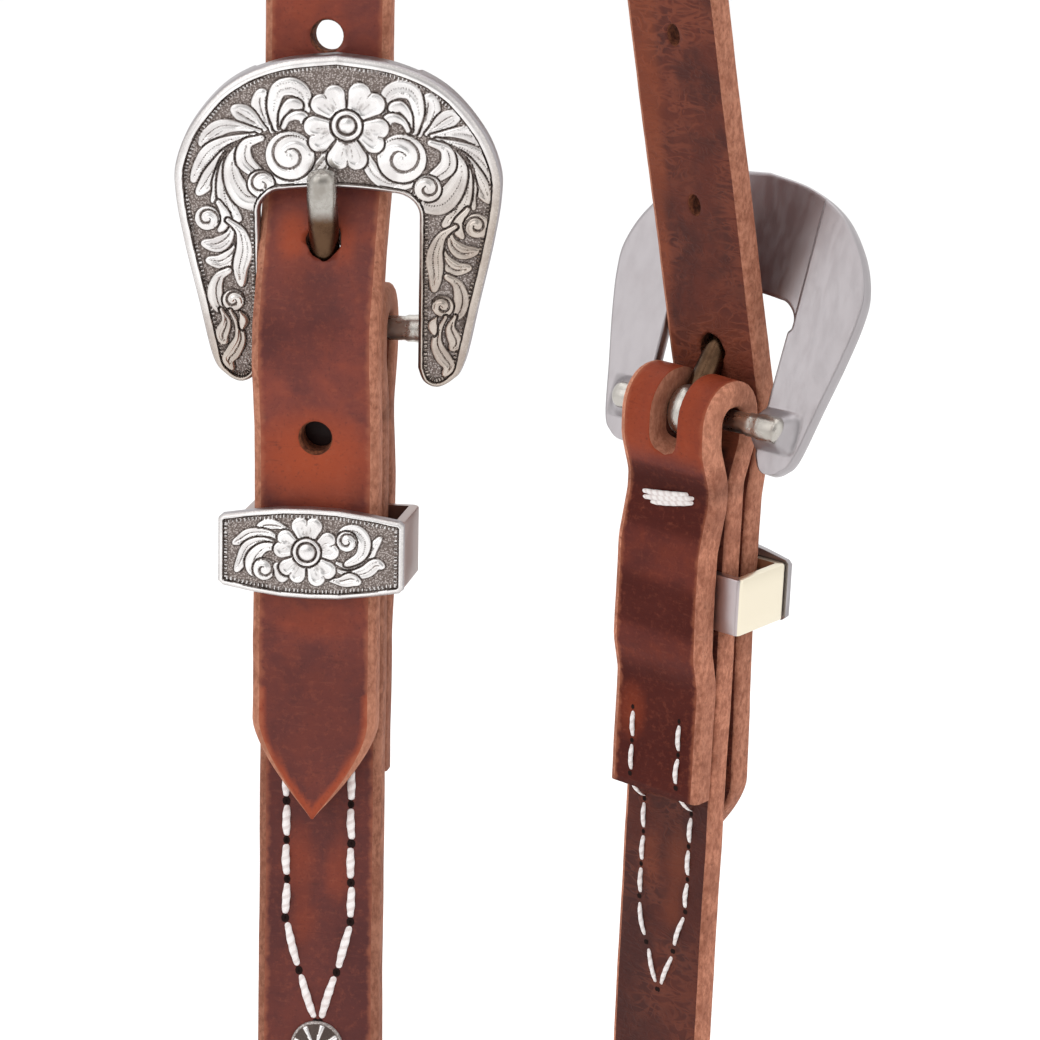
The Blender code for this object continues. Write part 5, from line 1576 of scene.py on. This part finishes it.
def make_tongue(side_name, cheek):
    """A round tongue with a worn, faceted tip and an eye bent round the bar."""
    points = tongue_line()
    route = Route([(points[0], 0), (points[1], 3.0 * MM), (points[3], 0)])
    sides, rings = 28, 44
    tip_round, tip_worn = 1.5 * MM, 3.2 * MM
    verts = []
    for j in range(rings + 1):
        distance = route.length * j / rings
        point, along = route.at(distance)
        left = route.length - distance
        share = math.sqrt(max(0.0, 1 - max(0.0, 1 - left / tip_round) ** 2))
        radius = TONGUE_RADIUS * max(share, 0.02)
        up = along.cross(X_AXIS).normalized()
        worn = max(0.0, 1 - left / tip_worn)
        for k in range(sides):
            a = 2 * math.pi * k / sides
            r = radius * (1 - 0.10 * worn * (0.5 + 0.5 * math.cos(5 * a + 0.6)))
            verts.append(point + X_AXIS * (r * math.cos(a)) + up * (r * math.sin(a)))
    rod = mesh_object(f"{side_name}_tongue_rod", verts, tube_faces(rings + 1, sides), (TONGUE,))
    tube = TONGUE_EYE_WALL / 2
    middle = BAR_RADIUS + TONGUE_EYE_GAP + tube
    around, across = 48, 16
    verts = []
    for turn_c, turn_s in circle(around):
        for c, s in circle(across):
            reach = middle + tube * c
            verts.append((TONGUE_RADIUS * 0.96 * s, reach * turn_c, reach * turn_s))
    eye = mesh_object(f"{side_name}_tongue_ring", verts, tube_faces(around, across, "joined"), (STEEL,))
    for obj in (rod, eye):
        fix_normals(obj)
        obj.matrix_world = tongue_matrix(cheek)
        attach(obj, f"{side_name}_tongue")
    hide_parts(f"{side_name}_buckle_tongue")


# Keepers
def plate_half(x):
    """Half of the plate's height at a place across it."""
    shares = np.array(PLATE_SHARES[1:])
    order = shares[:, 0].argsort()
    return np.interp(np.abs(x) / (PLATE_WIDTH / 2), shares[order, 0], shares[order, 1]) * PLATE_HEIGHT / 2


def draw_plate(relief):
    """A flower between sprays and small scrolls, as on the buckle."""
    def at(u, v):
        return (u - 478) * PLATE_DRAW_UNIT, (265 - v) * PLATE_DRAW_UNIT

    def leaf(width, *places, **shape):
        relief.leaf([at(u, v) for u, v in places], width * PLATE_DRAW_UNIT, **shape)

    leaf(20, (390, 165), (330, 140), (280, 138), (240, 150))
    leaf(22, (350, 215), (290, 180), (210, 185), (160, 215), (128, 232), second=0.4)
    leaf(25, (350, 235), (270, 215), (200, 245), (165, 310), (140, 358), second=0.4)
    leaf(26, (345, 240), (270, 245), (222, 290), (212, 345), (240, 375), root=0.5, peak=0.6)
    relief.scroll(at(268, 345), 52 * PLATE_DRAW_UNIT, 2.4, 1.15, -1)
    leaf(29, (330, 330), (350, 350), (350, 385), vein=False, root=0.6)
    leaf(24, (600, 300), (660, 320), (720, 300), (755, 235), (795, 178), second=0.4)
    leaf(25, (590, 330), (660, 350), (730, 335), (775, 300), (808, 308), second=0.4)
    leaf(25, (560, 380), (620, 385), (665, 375), (700, 385))
    leaf(28, (610, 190), (640, 158), (690, 160), (722, 205), (705, 265), (640, 305), root=0.7, peak=0.45)
    relief.scroll(at(643, 200), 48 * PLATE_DRAW_UNIT, -0.6, 1.15, 1)
    relief.flower(at(462, 258), 154 * PLATE_DRAW_UNIT, 90 * DEGREE, 0.36)


def make_plate(side_name, cheek):
    rows, wide, end_steps = 230, 104, 40
    half_width = PLATE_WIDTH / 2
    u = np.sin(np.linspace(-math.pi / 2, math.pi / 2, rows)) * 0.25 + np.linspace(-1, 1, rows) * 0.75
    x = np.clip(u, -1, 1) * half_width
    tall = plate_half(np.clip(x, -0.999 * half_width, 0.999 * half_width))
    gx = np.repeat(x[:, None], wide, 1)
    gz = tall[:, None] * np.linspace(-1, 1, wide)[None, :]
    relief = carved(gx, gz, 1.35, 4)
    draw_plate(relief)
    left_end = np.linspace(-1, 1, end_steps)[:, None] * [0, tall[0]] + [-half_width, 0]
    right_end = np.linspace(1, -1, end_steps)[:, None] * [0, tall[-1]] + [half_width, 0]
    upper = np.stack([x, tall], 1)
    outline = np.concatenate([left_end, upper, right_end, upper[::-1] * [1, -1]])
    tint = border(relief, outline, np.ones(len(outline)), np.full(len(outline), PLATE_RIM_WIDTH))
    back = keeper_faces()[0] - PLATE_SEAT_GAP
    front = back - PLATE_THICKNESS + CARVED_FACE_DROP
    bow = 0.35 * MM * (gx / half_width) ** 2
    y = front - PLATE_RELIEF * relief.h.reshape(rows, wide) + bow

    def side_row(depth, z):
        return np.stack([x, np.broadcast_to(depth, rows), z], 1)[:, None]

    low, high = gz[:, 0], gz[:, -1]
    rings = np.concatenate([
        np.stack([gx, y, gz], 2),
        side_row(y[:, -1] + 0.25 * MM, high + 0.10 * MM), side_row(back, high + 0.12 * MM),
        side_row(back, low - 0.12 * MM), side_row(y[:, 0] + 0.25 * MM, low - 0.10 * MM)], 1)
    ring = rings.shape[1]
    slots = ([0] * (wide - 1) + [1] * (ring - wide + 1)) * (rows - 1) + [1, 1]
    obj = mesh_object(f"{side_name}_engraved_plate", rings.reshape(-1, 3), tube_faces(rows, ring),
                      (SILVER, PLAIN_SILVER), slots)
    store_relief(obj, np.concatenate([tint.reshape(rows, wide), np.full((rows, 4), 0.8)], 1).ravel())
    fix_normals(obj)
    obj.data.set_sharp_from_angle(angle=60 * DEGREE)
    obj.matrix_world = cheek_matrix(cheek) @ Matrix.Translation((0, 0, KEEPER_Z))
    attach(obj, f"{side_name}_keeper")
    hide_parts(f"{side_name}_keeper_plate")


def rounded_box_loop(low_x, high_x, low_y, high_y, radius, count=6):
    points = []
    for cx, cy, start in ((high_x - radius, high_y - radius, 0), (low_x + radius, high_y - radius, 1),
                          (low_x + radius, low_y + radius, 2), (high_x - radius, low_y + radius, 3)):
        for k in range(count + 1):
            a = math.pi / 2 * (start + k / count)
            points.append((cx + radius * math.cos(a), cy + radius * math.sin(a)))
    return points


def make_band(side_name, cheek):
    """A flat band bent round both straps, its edges eased and its corners folded tight."""
    front_outer, front_inner, rear_inner, rear_outer = keeper_faces()
    inner_half = STRAP_HALF + KEEPER_SIDE_CLEARANCE
    outer_half = inner_half + KEEPER_WALL
    half = KEEPER_BAND_HEIGHT / 2
    ease = 0.28 * MM

    def outer_loop(inset, radius):
        return rounded_box_loop(-outer_half + inset, outer_half - inset, front_outer + inset,
                                rear_outer - inset, radius)

    outside = outer_loop(0.0, 0.85 * MM)
    eased = outer_loop(ease * 0.3, 0.8 * MM)
    lip = outer_loop(ease, 0.6 * MM)
    inside = rounded_box_loop(-inner_half, inner_half, front_inner, rear_inner, 0.25 * MM)
    loops = [(lip, -half), (eased, -half + ease * 0.3), (outside, -half + ease), (outside, -half * 0.4),
             (outside, half * 0.4), (outside, half - ease), (eased, half - ease * 0.3), (lip, half),
             (inside, half), (inside, 0.0), (inside, -half)]
    last_outer_row = 8
    count = len(outside)
    verts = [(x, y, z) for loop, z in loops for x, y in loop]
    at_rear = [y > rear_outer - 0.4 * MM for _, y in outside]
    # The far band's rear faces take the darker nickel copy: painted shade.
    shaded = [side_name == "far" and at_rear[k] and at_rear[(k + 1) % count] for k in range(count)]
    slots = [int(r <= last_outer_row and shaded[k]) for r in range(len(loops)) for k in range(count)]
    # The near band takes the darker copy of the nickel: painted shade.
    metal = SHADED_WARM_NICKEL if side_name == "near" else NICKEL
    faces = tube_faces(len(loops), count, "joined")
    obj = mesh_object(f"{side_name}_bent_band", verts, faces, (metal, SHADED_BACK_NICKEL), slots)
    fix_normals(obj)
    obj.data.set_sharp_from_angle(angle=40 * DEGREE)
    obj.matrix_world = cheek_matrix(cheek) @ Matrix.Translation((cheek["band_shift"], 0, KEEPER_Z))
    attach(obj, f"{side_name}_keeper")
    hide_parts(f"{side_name}_keeper_band")


# Spots
def spot_level(share, angle):
    """How far a place of the spot stands proud: spokes, centre and rim over a dark dish."""
    in_spoke = math.cos(8 * (angle - 0.54)) > 1 - 0.55 * (0.55 + 0.35 * (1 - share))
    spoke = 0.85 if in_spoke and 0.16 < share < 0.90 else 0.0
    return max(spoke, 1.0 if share <= 0.20 else 0.0, 0.35 if share > 0.93 else 0.0, 0.04)


def make_spot(side_name, cheek):
    """A small stud: a dark dish with eight silver spokes, a bright centre and a rim."""
    rows, wide = 34, 96
    base, dome, proud = 0.30 * MM, 0.55 * MM, 0.16 * MM
    verts, levels = [], []
    for j in range(rows):
        r = SPOT_RADIUS * j / (rows - 1)
        share = r / SPOT_RADIUS
        for k in range(wide):
            a = 2 * math.pi * k / wide
            level = spot_level(share, a)
            levels.append(level)
            verts.append((r * math.cos(a), r * math.sin(a), dome * (1 - share ** 2) + base + proud * level))
    skirt = SPOT_RADIUS * 1.02
    verts += [(skirt * c, skirt * s, -0.6 * MM) for c, s in circle(wide)]
    levels += [0.6] * wide
    obj = mesh_object(f"{side_name}_spoked_spot", verts, tube_faces(rows + 1, wide, "open"), (SILVER,))
    store_relief(obj, levels)
    fix_normals(obj, 0.001 * MM)
    face = -LAYER_GAP / 2 - STRAP_THICKNESS
    place = Matrix.Translation((0, face, SPOT_Z + SPOT_LIFT)) @ Matrix.Rotation(math.pi / 2, 4, "X")
    obj.matrix_world = cheek_matrix(cheek) @ place
    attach(obj, "straps")
    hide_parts(f"{side_name}_spot")


# Ear piece
def ear_matrix():
    lower = billet_points(CHEEKS["near"])[-1][0]
    upper = Vector((0, -HOOK_BEND_RADIUS, LEATHER_HALF))
    up = (upper - lower).normalized()
    across = (X_AXIS - up * up.dot(X_AXIS)).normalized()
    back = up.cross(across)
    turn = Matrix((across, back, up)).transposed()
    return Matrix.Translation(upper - up * EAR_BELOW_CROWN) @ turn.to_4x4()


def make_ear_piece():
    """The slip ear: an arch of lighter strap, sewn into a loop at each end."""
    base = -LEATHER_HALF - EAR_CLEARANCE - EAR_THICKNESS / 2
    crest = base - EAR_RISE
    half = EAR_LENGTH / 2
    foot = half - EAR_LOOP_LENGTH
    corners = (
        (base, -half, 0),
        (base, -foot, EAR_BEND_RADIUS / 2),
        (crest, -foot + EAR_SHOULDER, EAR_BEND_RADIUS),
        (crest, foot - EAR_SHOULDER, EAR_BEND_RADIUS),
        (base, foot, EAR_BEND_RADIUS / 2),
        (base, half, 0),
    )
    route = Route(local_points(corners))
    arch = dressed_strap("ear_arch", route, lambda _: X_AXIS, lambda _: EAR_WIDTH / 2, EAR_THICKNESS / 2,
                         LEATHERS, 41, 1.4 * MM, [(0, route.length)], round_edge=0.7 * MM)
    co = vertex_array(arch)
    tones = np.zeros((len(co), 3))
    tones[:, 0] = 0.25 + 0.15 * smooth_noise(co[:, 0] / MM * 0.5, co[:, 2] / MM * 0.3, 8)
    paint(arch, tones)
    pieces = [arch, make_ear_loop("low", -1), make_ear_loop("high", 1)]
    seam = Seam()
    seed = 900
    y = base - EAR_THICKNESS / 2
    for end in (-1, 1):
        for side in (-1, 1):
            x, z = side * 4.6 * MM, end * half - end * 2.2 * MM
            for _ in range(3):
                seed += 1
                seam.sew(Vector((x, y, z)), Vector((x, y, z - end * 3.1 * MM)), Vector((0, -1, 0)),
                         0.42 * MM, 0.36 * MM, seed)
                z -= end * 3.8 * MM
    pieces.append(seam.finished("ear_stitches"))
    for obj in pieces:
        obj.matrix_world = ear_matrix()
        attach(obj, "ear")
    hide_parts("ear_piece")


def make_ear_loop(place_name, end):
    """A loop of leather round the crown strap and one foot of the arch."""
    inner_x = STRAP_HALF + EAR_CLEARANCE
    inner_y = LEATHER_HALF + EAR_CLEARANCE
    wall = EAR_THICKNESS * 0.93
    middle = end * (EAR_LENGTH - EAR_LOOP_LENGTH) / 2
    tall = EAR_LOOP_LENGTH / 2
    ease = 0.5 * MM
    outside = rounded_box_loop(-inner_x - wall, inner_x + wall, -inner_y - wall + LAYER_GAP,
                               inner_y + wall, 1.9 * MM)
    inside = rounded_box_loop(-inner_x, inner_x, -inner_y, inner_y, 0.5 * MM)
    lip = [tuple(p - math.copysign(min(ease, abs(p)), p) for p in place) for place in outside]
    loops = [(lip, -tall), (outside, -tall + ease), (outside, -tall * 0.3), (outside, tall * 0.3),
             (outside, tall - ease), (lip, tall), (inside, tall), (inside, 0.0), (inside, -tall)]
    count = len(outside)
    verts = [(x, y, z + middle) for loop, z in loops for x, y in loop]
    uvs = [(k / count * 0.06 + end * 0.1, z) for _, z in loops for k in range(count)]
    slots = [slot for slot in (1, 0, 0, 0, 1, 1, 2, 2, 1) for _ in range(count)]
    faces = tube_faces(len(loops), count, "joined")
    obj = mesh_object(f"ear_loop_{place_name}", verts, faces, LEATHERS, slots, uvs)
    fix_normals(obj)
    paint(obj, np.full((len(verts), 3), [0.30, 0.0, 0.0]))
    return obj


# Build
make_crown_strap()
make_ear_piece()
for side, place in CHEEKS.items():
    make_cheek_strap(side, place)
    make_stitches(side, place)
    make_buckle_frame(side, place)
    make_bar(side, place)
    make_tongue(side, place)
    make_plate(side, place)
    make_band(side, place)
    make_spot(side, place)

for node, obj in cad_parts.items():
    if "screw" in node:
        obj.data.materials.clear()
        obj.data.materials.append(NICKEL)

# Floor, light and camera
low_z = min(corner[2] for corner in cad_box)
corners = [(x * FLOOR_SIZE, y * FLOOR_SIZE, 0) for x, y in ((-1, -1), (1, -1), (1, 1), (-1, 1))]
floor = mesh_object("floor", corners, [(0, 1, 2, 3)], (floor_material(),),
                    matrix=Matrix.Translation((0, 0, low_z - FLOOR_DROP)))

world = bpy.data.worlds.new("studio")
bpy.context.scene.world = world
world.use_nodes = True
bpy.context.scene.view_settings.view_transform = "Standard"


def light_tent():
    """A white tent, dimmer round the opening in front, so that polished metal has something to show."""
    tree = world.node_tree
    background = tree.nodes["Background"]
    place = tree.nodes.new("ShaderNodeTexCoord")
    dot = tree.nodes.new("ShaderNodeVectorMath")
    dot.operation = "DOT_PRODUCT"
    dot.inputs[1].default_value = Vector((0.10, -0.98, -0.17)).normalized()
    tree.links.new(place.outputs["Generated"], dot.inputs[0])
    ramp = tree.nodes.new("ShaderNodeMapRange")
    ramp.interpolation_type = "SMOOTHSTEP"
    for socket, limit in (("From Min", 0.45), ("From Max", 0.96), ("To Min", 1.10), ("To Max", 0.42)):
        ramp.inputs[socket].default_value = limit
    tree.links.new(dot.outputs["Value"], ramp.inputs["Value"])
    background.inputs["Color"].default_value = (1.0, 1.0, 1.0, 1.0)
    tree.links.new(ramp.outputs[0], background.inputs["Strength"])


light_tent()


def area_light(name, offset, size, power):
    data = bpy.data.lights.new(name, "AREA")
    data.energy = power
    data.size = size
    obj = bpy.data.objects.new(name, data)
    bpy.context.scene.collection.objects.link(obj)
    obj.location = CAMERA_TARGET + Vector(offset)
    obj.rotation_euler = (CAMERA_TARGET - obj.location).to_track_quat("-Z", "Y").to_euler()


area_light("key", (-0.9, -1.1, 0.9), 1.7, 8.5)
area_light("fill", (1.2, -0.9, 0.2), 1.4, 2.5)
area_light("top", (0.1, 0.3, 1.4), 1.5, 6.0)

camera_data = bpy.data.cameras.new("camera")
camera_data.lens = CAMERA_LENS
camera_data.sensor_width = 36.0
camera_data.clip_end = 100.0
camera = bpy.data.objects.new("camera", camera_data)
bpy.context.scene.collection.objects.link(camera)
camera.location = CAMERA_TARGET + Vector((0, -math.cos(CAMERA_DOWN), math.sin(CAMERA_DOWN))) * CAMERA_DISTANCE
camera.rotation_euler = (math.pi / 2 - CAMERA_DOWN, 0, 0)
bpy.context.scene.camera = camera
